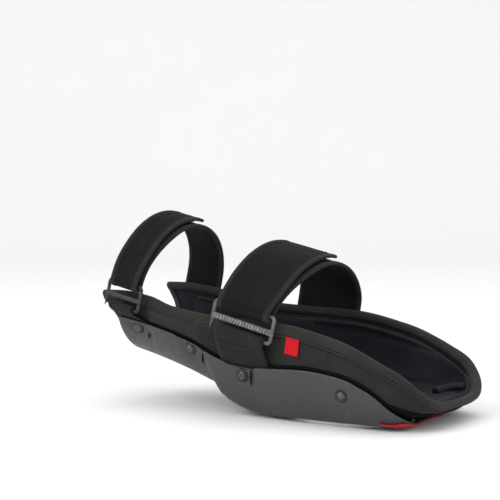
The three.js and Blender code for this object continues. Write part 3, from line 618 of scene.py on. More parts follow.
def make_shell_details():
    """The slits, each a near-black tube of painted shade, the moulded ridges at the step and the near-black
    strip of painted shadow in the gap over the shell's edge.
    """
    for side, word in SIDES:
        for i, (x0, drop0, x1, drop1) in enumerate(SLITS):
            ribs = side_ribs(np.linspace(x0, x1, 12), side)
            share = ribs.share(ribs.edge - np.linspace(drop0, drop1, 12)[:, None])
            line, proud = (ribs.at(share, off)[:, 0] for off in (-0.1, -1))
            wide = 0.4 + 0.7 * np.sin(np.linspace(0.1, math.pi - 0.1, 12))
            name = f"shell_slit_{word}_{i + 1}"
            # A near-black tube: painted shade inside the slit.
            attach(tube(name, line, proud - line, wide, 0.25, **look("painted_shade", "shell")), "pad")
        for i, (x0, reach0, x1, reach1) in enumerate(RIDGES):
            ribs = side_ribs(np.linspace(x0, x1, 16), side)
            share = ribs.share_at(np.linspace(reach0, reach1, 16)[:, None])
            line, proud = (ribs.at(share, off)[:, 0] for off in (0, -1))
            ridge = tube(f"shell_ridge_{word}_{i + 1}", line, proud - line, 1.0, 0.6, **look("shell"))
            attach(ridge, "pad")
    # Painted shadow in the gap between the shell's edge and the cover.
    ribs = trough_ribs(SHELL_REAR_X, 3, 48)
    over = 1.2 + 5 * smooth((ribs.rim_x - 58) / 35)
    rows = [ribs.at(ribs.share(ribs.edge + up * over - low), off)[:, 0] for off, up, low in GAP_STRIP]
    strip = loop_solid("shell_gap_painted_shadow", np.stack(rows, 1), **look("painted_shade", "cover"))
    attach(strip, "pad")


# ---- Sole and badge ----------------------------------------------------------------------
# Half sizes of the sole, a little over the CAD sole's so that its pale edge shows.
SOLE = dict(long=60, wide=63.5, power=3, bevel=1.5, below=1)
GROOVE = dict(deep=1.2, rings=6, wide=0.16)


def underside_height(x, y):
    """Height of the mould surface over a point of the floor plan."""
    fan = x > FAN_X
    u = np.where(fan, (x - FAN_X) / (FRONT_X - FAN_X), 0)
    v = np.abs(y) / half_width(np.minimum(x, FAN_X))
    out = np.where(fan, (np.abs(u) ** PLAN_POWER + v**PLAN_POWER) ** (1 / PLAN_POWER), v)
    cosine = np.clip((np.abs(u) / np.maximum(out, 1e-6)) ** (PLAN_POWER / 2), 0, 1)
    turn = np.where(fan, np.arccos(cosine), math.pi / 2)
    ribs = Ribs(np.minimum(x, FAN_X).ravel(), turn.ravel(), np.ones(x.size))
    share = ribs.share_at(np.clip(out.ravel()[:, None], 0, 0.999))
    return ribs.at(share, 0)[:, 0, 2].reshape(x.shape)


def make_sole():
    """The sole: flat underneath with moulded grooves, its top just under the shell."""
    around = np.stack([np.cos(circle(96)), np.sin(circle(96))], -1)
    unit = np.sign(around) * np.abs(around) ** (2 / SOLE["power"])

    def ring(inset, share):
        x = (SOLE["long"] - inset) * unit[:, 0] * share
        return x, (SOLE["wide"] - inset) * unit[:, 1] * share

    shares = np.linspace(0.02, 1, 14)
    grid = []
    for share in shares:
        x, y = ring(SOLE["bevel"], share)
        phase = (share * GROOVE["rings"]) % 1 - 0.5
        groove = GROOVE["deep"] * np.exp(-(phase / GROOVE["wide"]) ** 2) * (share < 0.97)
        grid.append(np.stack([x, y, np.full_like(x, groove)], -1))
    for inset, high in ((1.6, 0.2), (0.9, 0.7), (0.3, 1.5), (0, 2.6)):
        x, y = ring(inset, 1)
        grid.append(np.stack([x, y, np.minimum(high, underside_height(x, y) - SOLE["below"] - 0.3)], -1))
    for share in shares[::-1]:
        x, y = ring(0.4, share)
        grid.append(np.stack([x, y, underside_height(x, y) - SOLE["below"] + 0.5], -1))
    sole = loop_solid("sole_tread", np.array(grid), **look("sole"))
    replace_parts(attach(sole, "pad"), "sole_plate")


BADGE_ENDS = (-81, 40)  # degrees round the toe, from the near side


def make_badge():
    """A plain red plate round the toe, from the sole's corner up the shell, with pointed ends."""
    angle = np.linspace(*BADGE_ENDS, 61)
    ribs = Ribs([FAN_X] * len(angle), np.radians(np.abs(angle)), np.where(angle < 0, NEAR, FAR))
    top = ribs.climb(ribs.share(ribs.edge), np.array([[1.0]]))
    from_end = np.where(angle < 0, angle - BADGE_ENDS[0], BADGE_ENDS[1] - angle)
    tall = smooth(from_end[:, None] / 30)
    section = [(-0.3, 0), (-1.3, 0.01), (-1.7, 0.05), (-1.7, 0.5), (-1.7, 0.95), (-1.3, 0.99), (-0.3, 1.0)]
    columns = []
    for off, across in section:
        row = 0.62 + (0.02 + 0.28 * tall) * across
        columns.append(ribs.at(ribs.climb(top, row), off)[:, 0])
    badge = loop_solid("toe_badge", np.stack(columns, 1), **look("badge"))
    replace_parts(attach(badge, "pad"), "front_badge")


# ---- The cradle -----------------------------------------------------------------------
RIM_DROP = 3.6  # how far the layers end below the rim, inside its tape
COMFORT_REAR_X = -222
SWELL = 2.5  # the most that the cushion's inner face may rise
# The sewn fold across the toe: points of its middle line, and its radius at some of them.
TOE_FOLD = np.array([(57, 44, 21), (60.5, 49.5, 23), (66, 53, 25), (72, 53.5, 26.4), (78, 51.5, 27.4),
                     (83, 48, 28)])
TOE_FOLD_RADII = ([0, 0.6, 2.5, 5], [5.6, 5.2, 4.4, 3.0])


def make_cradle():
    """The cover, the foam and the lining, one inside the other."""
    ribs = trough_ribs(CRADLE_REAR_X, 3, extra=(SHELL_REAR_X, SHELL_REAR_X - 1, SHELL_REAR_X - 2))
    top = ribs.rim - RIM_DROP
    cover = trough_layer("cover_skin", ribs, top, COVER, 40, **look("cover"))
    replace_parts(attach(cover, "pad"), "outer_cover")
    foam = trough_layer("foam_core", ribs, top, FOAM, 30, (1, 0), **look("foam"))
    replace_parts(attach(foam, "pad"), "foam_cradle", "gel_insert")
    lining = trough_layer("lining_skin", ribs, top, LINING, 40, (0, 0), **look("lining"))
    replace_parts(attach(lining, "pad"), "lining")


def pad_drop(ribs):
    """How far the cushion's edge is below the rim."""
    return 6 + 8 * smooth((ribs.rim - 35) / 20)


def swell(obj, is_sewn, most):
    """Swells a closed soft piece by a cloth simulation. Points for which is_sewn(point, normal) is true stay,
    and the others move by the given distance at most."""
    scene, mesh = bpy.context.scene, obj.data
    sewn = [v.index for v in mesh.vertices if is_sewn(v.co / MM, v.normal)]
    obj.vertex_groups.new(name="sewn").add(sewn, 1.0, "REPLACE")
    cloth = obj.modifiers.new("cloth", "CLOTH")
    cloth.settings.vertex_group_mass = "sewn"
    cloth.settings.use_pressure = True
    cloth.settings.uniform_pressure_force = 4
    cloth.settings.effector_weights.gravity = 0
    cloth.point_cache.frame_start, cloth.point_cache.frame_end = 1, 20
    for step in range(1, 21):
        scene.frame_set(step)
    swollen = obj.evaluated_get(bpy.context.evaluated_depsgraph_get()).data
    moves = [after.co - before.co for after, before in zip(swollen.vertices, mesh.vertices)]
    obj.modifiers.remove(cloth)
    for vertex, move in zip(mesh.vertices, moves):
        vertex.co += move * min(1, most * MM / max(move.length, 1e-9))
    scene.frame_set(1)


def faces_away(point, normal):
    """Whether a face of the cushion doesn't look in at the shin."""
    return normal.dot(Vector((0, -point.y, 150 - point.z)).normalized()) < 0.4


def make_comfort_pad():
    """The loose inner cushion, swollen between its sewn edges."""
    ribs = trough_ribs(COMFORT_REAR_X, 4)
    top = ribs.rim - pad_drop(ribs)
    pad = trough_layer("comfort_cushion", ribs, top, COMFORT_PAD, 30, (0, 0), **look("lining"))
    swell(pad, faces_away, SWELL)
    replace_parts(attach(pad, "pad"), "comfort_pad")


def make_pad_details():
    """The piping along the cushion's edge, a sewn fold across the toe in a lighter copy of the lining as
    painted light, and the open mouth beside it as a near-black tube of painted shade.
    """
    ribs = trough_ribs(COMFORT_REAR_X + 4, 3, 60)
    height = ribs.rim - pad_drop(ribs) + 0.6
    line, proud = (ribs.line(height, off, 0) for off in (15.6, 16.6))
    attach(tube("cushion_piping", line, proud - line, 1.9, **look("piping", "lining")), "pad")
    t = np.linspace(0, len(TOE_FOLD) - 1, 40)
    radii = np.interp(t, *TOE_FOLD_RADII)
    size = 5.3 * np.sin(np.linspace(0.2, math.pi / 2, 8)) ** 0.6
    for side, word in SIDES[::-1]:
        line = read_at(TOE_FOLD, range(len(TOE_FOLD)), t) * (1, side, 1)
        up = np.array([-0.2, -0.4 * side, 0.9])
        # The fold takes the lighter copy of the lining: painted light on the raised fold.
        fold = tube(f"toe_fold_{word}", line, up, radii, 0.75, 20, **look("fold", "lining"))
        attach(fold, "pad")
        ahead = (line[1] - line[0]) / np.linalg.norm(line[1] - line[0])
        # The open mouth: a near-black tube of painted shade.
        mouth = line[0] + np.outer(np.linspace(-3.2, 0.3, 8), ahead)
        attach(tube(f"toe_mouth_{word}", mouth, up, size, 0.7, 20, **look("painted_shade", "lining")), "pad")


BINDING_THICK = 0.9
ARCH_BASE, ARCH_RISE = -4.6, 4.8  # where the tape's round top starts below the rim, and its height
BINDING_MIDDLE, BINDING_HALF = (BINDING_OUT + BINDING_IN) / 2, (BINDING_IN - BINDING_OUT) / 2
# How the tape closes past the rear corners, as (size, distance).
CORNER = [(1.02, 1.6), (0.92, 2.8), (0.7, 3.6), (0.35, 4.0)]


def binding_section():
    """The tape's section over the rim, as (depth, height above the rim), going round a closed loop."""
    def over(half, rise, turn):
        return [(BINDING_MIDDLE + half * math.cos(a), ARCH_BASE + rise * math.sin(a)) for a in turn]

    arc = np.linspace(math.pi, 0, 13)
    outer = [(BINDING_OUT, -12), (BINDING_OUT - 0.35, -10), (BINDING_OUT - 0.1, -7.6)]
    outer += over(BINDING_HALF, ARCH_RISE, arc) + [(BINDING_IN, -6.4), (BINDING_IN - 0.1, -7.6)]
    inner = over(BINDING_HALF - BINDING_THICK, ARCH_RISE - BINDING_THICK, arc[::-1])
    legs = [(BINDING_OUT + BINDING_THICK, -8), (BINDING_OUT + BINDING_THICK, -12)]
    return outer + [(BINDING_IN - BINDING_THICK, -7.4)] + inner + legs


def make_binding():
    """The tape folded over the rim, puckered a little, with a row of stitches on each side."""
    ribs = trough_ribs(CRADLE_REAR_X, 1.5, 60)
    pucker = 0.18 * np.sin(np.arange(len(ribs.foot)) * 2.1)[:, None]
    rows = []
    for off, up in binding_section():
        wrinkle = pucker * (1 if up < -5 else 0.3)
        rows.append(ribs.at(ribs.share(ribs.rim + up, off), off + wrinkle, 0)[:, 0])
    grid = np.stack(rows, 1)
    for end, before in ((0, 4), (-1, -5)):
        middle = grid[end].mean(0)
        past = middle - grid[before].mean(0)
        past /= np.linalg.norm(past)
        closing = [middle + (grid[end] - middle) * size + past * far for size, far in CORNER]
        grid = np.concatenate([closing[::-1], grid] if end == 0 else [grid, closing])
    tape = loop_solid("rim_tape", grid, **look("binding"))
    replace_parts(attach(tape, "pad"), "rim_binding")
    for word, off, up in (("outer", BINDING_OUT - 0.45, -9.3), ("inner", BINDING_IN + 0.2, -6.2)):
        line, proud = (ribs.line(ribs.rim + up, depth, 0) for depth in (off, off - 1))
        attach(stitches(f"rim_stitches_{word}", line, proud - line, "binding"), "pad")


def make_rear_binding():
    """The same fold along the rear edge, from one side down under the shin to the other."""
    turns = np.linspace(-1, 1, 61)
    upright = np.full(len(turns), math.pi / 2)
    strips = [Ribs([x] * len(turns), upright, np.sign(turns)) for x in (-222, SHELL_REAR_X, CRADLE_REAR_X)]
    climb = np.abs(turns)[:, None]
    columns = []
    for depth, up in binding_section():
        off = BINDING_MIDDLE + 0.96 * (depth - BINDING_MIDDLE)  # so that the rim tape covers its ends
        rows = [ribs.at(ribs.climb(ribs.share(ribs.rim - 5), climb), off, 0)[:, 0] for ribs in strips]
        ahead, strip = rows[0] - rows[1], rows[2] - rows[1]
        long = np.linalg.norm(strip, axis=-1, keepdims=True)
        past = long + RIM_DROP + np.maximum(up, -9.5)
        ahead = ahead * -past / np.linalg.norm(ahead, axis=-1, keepdims=True)
        columns.append(rows[1] + np.where(past < 0, ahead, strip * past / long))
    tape = loop_solid("rear_tape", np.stack(columns, 1), **look("binding"))
    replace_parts(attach(tape, "pad"), "rear_binding")


MESH = dict(rear=-204, front=-113, pitch=2.5, lean=26)  # lean: how far a strand runs along as it climbs
STRAND = [(5.35, -0.4), (5.05, 0), (5.35, 0.4), (5.7, 0)]  # its section, as (depth, shift up)


def mesh_strand(ribs, t, lift):
    """A strand's sections on ribs, at shares t of the wall's height."""
    bottom, top = ribs.edge - 2, ribs.rim - 9
    z = bottom + (top - bottom) * t[:, None]
    rows = [ribs.at(ribs.share(z, off + lift) + shift / 60, off + lift)[:, 0] for off, shift in STRAND]
    return np.stack(rows, 1)


def make_mesh_panels():
    """Open mesh in the wall between the tabs: real crossing strands over a near-black sheet, darker than the
    cover under it, as painted shade behind the strands.
    """
    rear, front = MESH["rear"], MESH["front"]
    for side, word in SIDES:
        verts, faces = [], []
        for lean in (1, -1):
            for start in np.arange(rear - 30, front + 30, MESH["pitch"]):
                t = np.linspace(0, 1, 22)
                x = start + lean * MESH["lean"] * t
                keep = (x > rear) & (x < front)
                if keep.sum() >= 3:
                    grid = mesh_strand(side_ribs(x[keep], side), t[keep], 0.14 * lean)
                    faces += grid_faces(len(grid), len(STRAND), closed=True, start=len(verts))
                    verts += list(grid.reshape(-1, 3))
        # A near-black sheet just over the cover: painted shade behind the strands.
        ribs = side_ribs(np.linspace(rear, front, 40), side)
        climb = np.linspace(0, 1, 8)
        rows = [ribs.line(ribs.edge - 1 + (ribs.rim - 10 - ribs.edge) * up, off)
                for off, ups in ((5.95, climb), (6.1, climb[::-1])) for up in ups]
        shade_sheet = loop_solid(f"mesh_shade_sheet_{word}", np.stack(rows, 1), **look("painted_shade", "mesh"))
        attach(shade_sheet, "pad")
        panel = mesh_object(f"mesh_strands_{word}", verts, faces, **look("mesh"))
        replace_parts(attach(panel, "pad"), f"mesh_panel_{word}")


LABEL = dict(x=-30.5, half=7, slant=1.5, top=79.5, high=15.5, droop=1.2)


def make_label():
    """A plain folded red label under the binding, curling a little off the wall."""
    n = 13
    across, down = np.meshgrid(np.linspace(-1, 1, n), np.linspace(0, 1, n), indexing="ij")
    ribs = side_ribs((LABEL["x"] + LABEL["half"] * across - LABEL["slant"] * down).ravel(), NEAR)
    z = (LABEL["top"] - LABEL["high"] * down - LABEL["droop"] * across).reshape(-1, 1)
    curl = (0.5 + 1.2 * down**2 + 0.12 * np.sin(3 * across + 2 * down)).reshape(-1, 1)
    points = np.concatenate([ribs.line(z, off - curl) for off in (4.9, 5.7)])
    faces = grid_faces(n, n) + grid_faces(n, n, start=n * n)
    edge = [i * n for i in range(n)] + [(n - 1) * n + k for k in range(1, n)]
    edge += [i * n + n - 1 for i in range(n - 2, -1, -1)] + list(range(n - 2, 0, -1))
    faces += [(a, b, b + n * n, a + n * n) for a, b in zip(edge, edge[1:] + edge[:1])]
    uv = np.stack([across * 7, down * 16], -1).reshape(-1, 2)
    label = mesh_object("side_tag", points, faces, np.concatenate([uv, uv]), **look("label"))
    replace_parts(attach(label, "pad"), "side_label")


# ---- Straps, buckles and tabs -------------------------------------------------------------
def from_strap(strap, along, y, up):
    """Points of a strap's own frame, tilted with the shin, in the pad's frame."""
    cx, cy, cz = strap["centre"]
    c, s = math.cos(SHIN_TILT), math.sin(SHIN_TILT)
    along, y, up = np.broadcast_arrays(along, y, up)
    return np.stack([cx + along * c + up * s, cy + y, cz - along * s + up * c], -1)


def bar_side(strap):
    """Where the middle of a buckle's bars is, across the pad."""
    return -(strap["near"] + FOLD)


def ellipse(strap, out):
    """The arch at a distance out from the main ply: its angle level with the top bar, and its points.
    180 degrees is the near side."""
    rise, high = strap["bars"][2] - strap["base"], strap["arch"] - strap["base"]
    middle, span = (strap["far"] - strap["near"]) / 2, (strap["far"] + strap["near"]) / 2
    half = span / math.sqrt(1 - (rise / high) ** 2)

    def at(degrees, further=out):
        a = np.radians(degrees)
        y, up = middle + (half + further) * np.cos(a), strap["base"] + (high + further) * np.sin(a)
        return np.stack([y, up], -1)

    return math.degrees(math.asin(rise / (high + out))), at


def lean_at_bar(strap):
    """How far the arch leans off the vertical where it meets the top bar."""
    level, at = ellipse(strap, 0)
    (y0, z0), (y1, z1) = at(180 - level), at(176 - level)
    return math.atan2(y1 - y0, z1 - z0)


def softened(path, rounds=40):
    """A path with its kinks rounded off and both ends kept."""
    path = spaced_line(path, 1.2)
    for _ in range(rounds):
        path[1:-1] = 0.5 * path[1:-1] + 0.25 * (path[:-2] + path[2:])
    return path


def around_bar(strap, angle):
    """A point of the fold at an angle about the top bar, 0 on its inner side and -180 on its outer side."""
    return np.array([bar_side(strap) + FOLD * math.cos(angle), strap["bars"][2] + FOLD * math.sin(angle)])


def main_path(strap):
    """From the far end over the calf down to the inner side of the top bar."""
    level, at = ellipse(strap, 0)
    start = np.array([[strap["far"], strap["far_end"]], [strap["far"], strap["far_end"] / 2]])
    arch = at(np.linspace(level + 5, 176 - level, 70))
    end = around_bar(strap, -lean_at_bar(strap))
    return softened(np.concatenate([start, arch, end[None]]))


def tail_path(strap):
    """From the outer side of the top bar back over the main ply."""
    level, at = ellipse(strap, TAIL_OUT)
    a = np.linspace(176 - level, strap["tail_end"], 60)
    out = TAIL_OUT + (CLOSED_OUT - TAIL_OUT) * smooth((180 - level - a) / (180 - level - CLOSED_FROM))
    points = np.array([at(angle, further) for angle, further in zip(a, out)])
    start = around_bar(strap, -math.pi - lean_at_bar(strap))
    return softened(np.concatenate([start[None], points]))


def fold_path(strap):
    """Half a turn under the top bar, from its inner side to its outer side."""
    lean = lean_at_bar(strap)
    return np.array([around_bar(strap, a) for a in np.linspace(-lean, -math.pi - lean, 19)])


def flared(widths, share, reach):
    """Widths along a ply: the first at the bar, and the second from a share reach of its length."""
    return widths[0] + (widths[1] - widths[0]) * smooth(share / reach)


def path_frame(path):
    """Shares of length and unit normals, as (y, z), of a path."""
    tangent = np.gradient(path, axis=0)
    tangent /= np.linalg.norm(tangent, axis=-1, keepdims=True)
    at = lengths(path[:, None], 0)[:, 0]
    return at / at[-1], np.stack([-tangent[:, 1], tangent[:, 0]], -1)


def ribbon(name, strap, path, widths, section, **settings):
    """A band along a path. section gives a closed loop of (share across, inset from the edge, out)."""
    _, normal = path_frame(path)
    rows = []
    for across, inset, out in section:
        y, z = (path + normal * out).T
        rows.append(from_strap(strap, across * (widths / 2 - inset), y, z))
    return loop_solid(name, np.stack(rows, 1), **settings)


def band_section(thick, puff, round_in=1.2):
    """A flat band with rounded edges that is a little thicker in the middle."""
    half = thick / 2
    f = np.linspace(-1, 1, 11)
    top = [(x, round_in, half + puff * (1 - x * x)) for x in f]
    turn = np.linspace(0.5, math.pi - 0.5, 5)
    side = [(1, round_in - round_in * math.sin(a), half * math.cos(a)) for a in turn]
    low = [(x, round_in, -half) for x in f[::-1]]
    return top + side + low + [(-1, i, -o) for _, i, o in side]


def edging_section(side):
    """The tape folded over one edge of a ply."""
    wide, half = 5.5, WEB / 2 + 0.45
    loop = [(wide, WEB / 2 + 0.02), (wide - 0.3, half), (1.6, half), (0.5, half * 0.8), (-0.1, half * 0.3)]
    loop += [(i, -o) for i, o in loop[::-1]]
    return [(side, i, o) for i, o in loop]


def edge_line(strap, path, widths, side, inset, out):
    """A line along a band's face, with the outward direction at each point."""
    _, normal = path_frame(path)
    w = side * (widths / 2 - inset)
    here = from_strap(strap, w, *(path + normal * out).T)
    return here, from_strap(strap, w, *(path + normal * (out + 1)).T) - here


def cross_line(strap, path, widths, share, inset, out, lean):
    """A line across a band at a share of its length. lean moves its two ends along the band."""
    at, normal = path_frame(path)
    f = np.linspace(-1, 1, 25)
    s = np.clip(share + lean * f, 0, 1)
    point, normal = read_at(path, at, s), read_at(normal, at, s)
    w = f * (np.interp(s, at, widths) / 2 - inset)
    here = from_strap(strap, w, *(point + normal * out).T)
    return here, from_strap(strap, w, *(point + normal * (out + 1)).T) - here


def make_band(name, body, strap, path, widths, node):
    """One ply of a strap with its edging and the stitches along its outer face."""
    band = ribbon(f"{name}_web", strap, path, widths, band_section(WEB, 0.35), **look("strap"))
    long = lengths(path[:, None], 0)[-1, 0]
    mean = float(np.mean(widths))
    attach(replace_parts(band, node), body)
    for side, word in EDGES:
        section = edging_section(side)
        tape = ribbon(f"{name}_edging_{word}", strap, path, widths, section, **look("edging", "strap"))
        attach(tape, body)
        line, out = edge_line(strap, path, widths, side, 4.4, PLY / 2 + 0.35)
        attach(stitches(f"{name}_stitches_{word}_out", line, out, "strap"), body)


def make_fold(name, strap):
    """The fold round the bar: its web and edgings, baked in place and attached to neither the strap nor the
    tail.
    """
    path = fold_path(strap)[::-1]
    widths = np.full(len(path), strap["tail"][0], float)
    pieces = [ribbon(f"{name}_fold_web", strap, path, widths, band_section(WEB, 0.35), **look("strap"))]
    for side, word in EDGES:
        tape = f"{name}_fold_edging_{word}"
        pieces.append(ribbon(tape, strap, path, widths, edging_section(side), **look("edging", "strap")))
    inner, outer = (from_strap(strap, 0, bar_side(strap) + r, strap["bars"][2]) * MM for r in (FOLD, -FOLD))
    for piece in pieces:
        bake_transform(piece)


def make_piles(name, strap):
    """The loop patch on the main ply and the hook patch on the tail."""
    out = PLY / 2 + 0.8
    for word, out, body in (("loop", out, f"{name}_strap"), ("hook", CLOSED_OUT - out, f"{name}_tail")):
        path = ellipse(strap, out)[1](np.linspace(CLOSED_FROM - 2, strap["tail_end"] + 6, 40))
        widths = np.full(len(path), strap["tail"][1] - 12)
        section = band_section(1.0, 0.1, round_in=0.4)
        patch = ribbon(f"{name}_{word}_pile", strap, path, widths, section, **look("hook_and_loop"))
        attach(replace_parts(patch, f"{name}_{word}_patch"), body)


def make_strap(name, strap):
    """A strap's two plies, its fold and patches, and the seams across it."""
    main, tail = main_path(strap), tail_path(strap)
    t_main, t_tail = path_frame(main)[0], path_frame(tail)[0]
    w_main, w_tail = flared(strap["main"], 1 - t_main, 0.3), flared(strap["tail"], t_tail, 0.25)
    make_band(f"{name}_ply", f"{name}_strap", strap, main, w_main, f"{name}_strap")
    make_band(f"{name}_tail", f"{name}_tail", strap, tail, w_tail, f"{name}_strap_tail")
    make_fold(name, strap)
    make_piles(name, strap)
    face = PLY / 2 + 0.42
    for i, share in enumerate(strap["seams"]):
        line, out = cross_line(strap, tail, w_tail, share, 6, face, strap["seam_lean"])
        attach(stitches(f"{name}_cross_{i + 1}", line, out, "strap"), f"{name}_tail")
    if name == "lower":
        keep = (t_tail > strap["seams"][-1]) & (t_tail < 0.97)
        for side, word in EDGES:
            line, out = edge_line(strap, tail[keep], w_tail[keep], side, 12, face)
            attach(stitches(f"{name}_patch_seam_{word}", line, out, "strap"), f"{name}_tail")


def rounded(x0, z0, x1, z1, r, steps):
    """Corners of a rectangle with rounded corners, anticlockwise."""
    points = []
    left, right, low, high = x0 + r, x1 - r, z0 + r, z1 - r
    for cx, cz, start in ((right, low, -90), (right, high, 0), (left, high, 90), (left, low, 180)):
        for a in np.radians(np.linspace(start, start + 90, steps)):
            points.append((cx + r * math.cos(a), cz + r * math.sin(a)))
    return points


BAR_RADII = (1.9, 1.5)  # in the ring's plane, and across it
RING_CORNER = 4.2
GRIP_RADII = (0.7, 0.85, 0.85, 0.85, 0.7)
ACROSS = np.array([0.0, 1.0, 0.0])  # the way out of a buckle's plane


def make_buckle(name, strap):
    """A cast ring: one bent rod for the arms and end bars, open at the lower rear, and a broad ribbed bar."""
    bottom, middle, top = strap["bars"]
    half, y = strap["slot"] / 2 + 1.8, bar_side(strap)
    # From the slip end on the bottom bar round the front arm and the top bar, down to the rear arm's tip.
    line = [(-half + 6.5, bottom)] + rounded(-half, bottom, half, top, RING_CORNER, 7)[:21]
    line += [(-half, bottom + 5), (-half - 0.6, bottom + 0.5), (-half - 1.4, bottom - 2.2)]
    path = from_strap(strap, *spaced_line([(x, y, z) for x, z in line], 1.2).T)
    t = np.linspace(0, 1, len(path))
    taper = np.maximum(np.clip(np.minimum(t / 0.02, (1 - t) / 0.075), 0, 1) ** 0.6, 0.25)
    flat = BAR_RADII[1] / BAR_RADII[0]
    finish = look(strap["metal"], "buckle")
    rod = tube(f"{name}_buckle_ring", path, ACROSS, BAR_RADII[0] * taper, flat, 16, **finish)
    reach, tall = half - 0.4, strap["crossbar"]
    section = np.array(rounded(-1.3, -tall, 1.3, tall, 1.0, 4)) + (y, middle)
    cross = [from_strap(strap, x, *section.T) for x in np.linspace(-reach, reach, 60)]
    bar = loop_solid(f"{name}_buckle_crossbar", np.array(cross), **finish)
    if name == "upper":
        t = np.linspace(0, 1, 5)
        for i, x in enumerate(np.arange(-reach + 6, reach - 5.9, 3.2)):
            grip = from_strap(strap, x - 0.5 + t, y - 1.3, middle - 2.1 + 4.2 * t)
            settings = look("grip", "buckle")
            piece = tube(f"{name}_buckle_grip_{i + 1}", grip, ACROSS, GRIP_RADII, 1.0, 16, **settings)
            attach(piece, f"{name}_buckle")
    for piece in (rod, bar):
        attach(piece, f"{name}_buckle")
    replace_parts(rod, f"{name}_buckle")


def tab_rows(strap):
    """Pairs of lines (outer, inner) of a near tab: up the wall under the shell, out over the bottom bar of
    the buckle and a short way back down inside it. Also the number of rows on the wall."""
    rear, front = strap["tab"]
    y, bottom = bar_side(strap), strap["bars"][0]
    thick = TAB[1] - TAB[0]
    across = np.linspace(-1, 1, 15)
    along = across * (strap["slot"] / 2 - 4)
    ribs = side_ribs((rear + front) / 2 + across * (front - rear) / 2, NEAR)
    edge = ribs.share(ribs.edge)
    rows = [tuple(ribs.at(ribs.climb(edge, f), depth)[:, 0] for depth in TAB)
            for f in np.linspace(0.6, 1, 8)[:, None]]
    on_wall = len(rows)

    def around(angle):
        return tuple(from_strap(strap, along, y + r * math.cos(angle), bottom + r * math.sin(angle))
                     for r in (SLEEVE + thick / 2, SLEEVE - thick / 2))

    low, high = rows[-1], around(math.pi)
    for t in np.linspace(0.12, 0.9, 8):
        pair = []
        for start, end in zip(low, high):
            line = start + (end - start) * t
            line[:, 1] = start[:, 1] + (end[:, 1] - start[:, 1]) * math.sin(t * math.pi / 2)
            pair.append(line)
        rows.append(tuple(pair))
    rows += [around(a) for a in np.linspace(math.pi, -0.3, 18)]
    return rows, on_wall


def make_tabs(name, strap):
    """The webbing from under the shell up to the buckle's bottom bar and round it, and the far tab."""
    rows, on_wall = tab_rows(strap)
    grid = np.array([np.concatenate([outer, inner[::-1]]) for outer, inner in rows])
    tab = loop_solid(f"{name}_tab_web", grid, **look("webbing"))
    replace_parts(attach(tab, "pad"), f"{name}_tab_near")
    for row, word in ((on_wall + 3, "low"), (on_wall + 5, "high")):
        outer, inner = rows[row]
        thread = stitches(f"{name}_tab_seam_{word}", outer[1:-1], (outer - inner)[1:-1], "webbing")
        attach(thread, "pad")

    rear, front = strap["tab"]
    ribs = side_ribs(np.linspace(rear, front, 15), FAR)
    grid = []
    for share in np.linspace(-0.45, 1, 12):
        z = ribs.edge + (ribs.rim - 8.5 - ribs.edge) * share
        outer, inner = (ribs.line(z, off) for off in TAB)
        grid.append(np.concatenate([outer, inner[::-1]]))
    far = loop_solid(f"{name}_tab_far_web", np.array(grid), **look("webbing"))
    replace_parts(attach(far, "pad"), f"{name}_tab_far")


# ---- Studio ---------------------------------------------------------------------------
CAMERA_AZIMUTH, CAMERA_ELEVATION, CAMERA_DISTANCE = math.radians(27), math.radians(9.5), 1.5
CAMERA_YAW, CAMERA_PITCH, LENS = math.radians(31.14), math.radians(-3.49), 112.3


def make_camera():
    """The photograph's view: low, from the near side and a little in front."""
    data = bpy.data.cameras.new("camera")
    data.lens, data.sensor_width = LENS, 36
    camera = bpy.data.objects.new("camera", data)
    flat = math.cos(CAMERA_ELEVATION) * CAMERA_DISTANCE
    camera.location = (math.sin(CAMERA_AZIMUTH) * flat, -math.cos(CAMERA_AZIMUTH) * flat,
                       math.sin(CAMERA_ELEVATION) * CAMERA_DISTANCE)
    camera.rotation_euler = (math.pi / 2 + CAMERA_PITCH, 0, CAMERA_YAW)
    bpy.context.scene.collection.objects.link(camera)
    bpy.context.scene.camera = camera


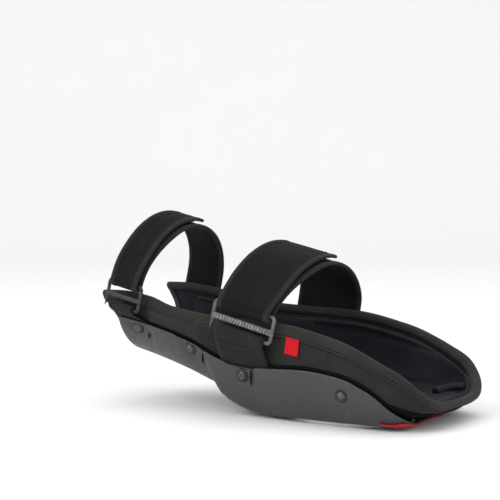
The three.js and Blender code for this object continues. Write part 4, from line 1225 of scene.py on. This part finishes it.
def area_light(name, place, target, size, power):
    """A round soft light that looks at a target."""
    data = bpy.data.lights.new(name, "AREA")
    data.shape, data.size, data.energy = "DISK", size, power
    light = bpy.data.objects.new(name, data)
    light.location = place
    light.rotation_euler = (Vector(target) - Vector(place)).to_track_quat("-Z", "Y").to_euler()
    bpy.context.scene.collection.objects.link(light)


def make_studio():
    """A pale floor that curves up behind the object, and soft light from both sides and above."""
    curve = np.linspace(0.1, math.pi / 2, 12)
    sweep = [(-3, 0), (2.2, 0)] + [(2.2 + math.sin(a), 1 - math.cos(a)) for a in curve] + [(3.2, 4)]
    c, s = math.cos(CAMERA_YAW), math.sin(CAMERA_YAW)
    verts = [(across * c - back * s, across * s + back * c, up) for across in (-5, 5) for back, up in sweep]
    floor = mesh_object("floor", np.array(verts) / MM, grid_faces(2, len(sweep)))
    pale = Finish("floor_pale", (0.86, 0.86, 0.86), 0.7)
    pale.tint(pale.remap(pale.noise(3, 2), 0.4, 0.7, 0, 0.3), (0.84, 0.84, 0.845))
    floor.data.materials.append(pale.material)
    area_light("key", (-0.9, -1.5, 1.3), (-0.05, 0, 0.05), 1.2, 15)
    area_light("fill", (1.5, -0.9, 0.9), (0, 0, 0.05), 1.4, 4)
    area_light("top", (0.2, 0.4, 1.9), (-0.05, 0, 0), 1.8, 9)
    world = bpy.data.worlds.new("studio")
    world.use_nodes = True
    background = world.node_tree.nodes["Background"]
    background.inputs[0].default_value = (1, 1, 1, 1)
    background.inputs[1].default_value = 1.0
    bpy.context.scene.world = world
    bpy.context.scene.view_settings.view_transform = "Standard"


def dress_cad_nodes():
    """The CAD rivet washers, which stay shown, get the washers' dark finish."""
    for name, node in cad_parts.items():
        if name.startswith("rivet_washer"):
            node.data.materials.clear()
            node.data.materials.append(M["washer"])


make_camera()
make_studio()
make_shell()
make_shell_details()
make_sole()
make_badge()
make_cradle()
make_comfort_pad()
make_pad_details()
make_binding()
make_rear_binding()
make_mesh_panels()
make_label()
for strap_name, strap_size in STRAPS.items():
    make_strap(strap_name, strap_size)
    make_buckle(strap_name, strap_size)
    make_tabs(strap_name, strap_size)
dress_cad_nodes()
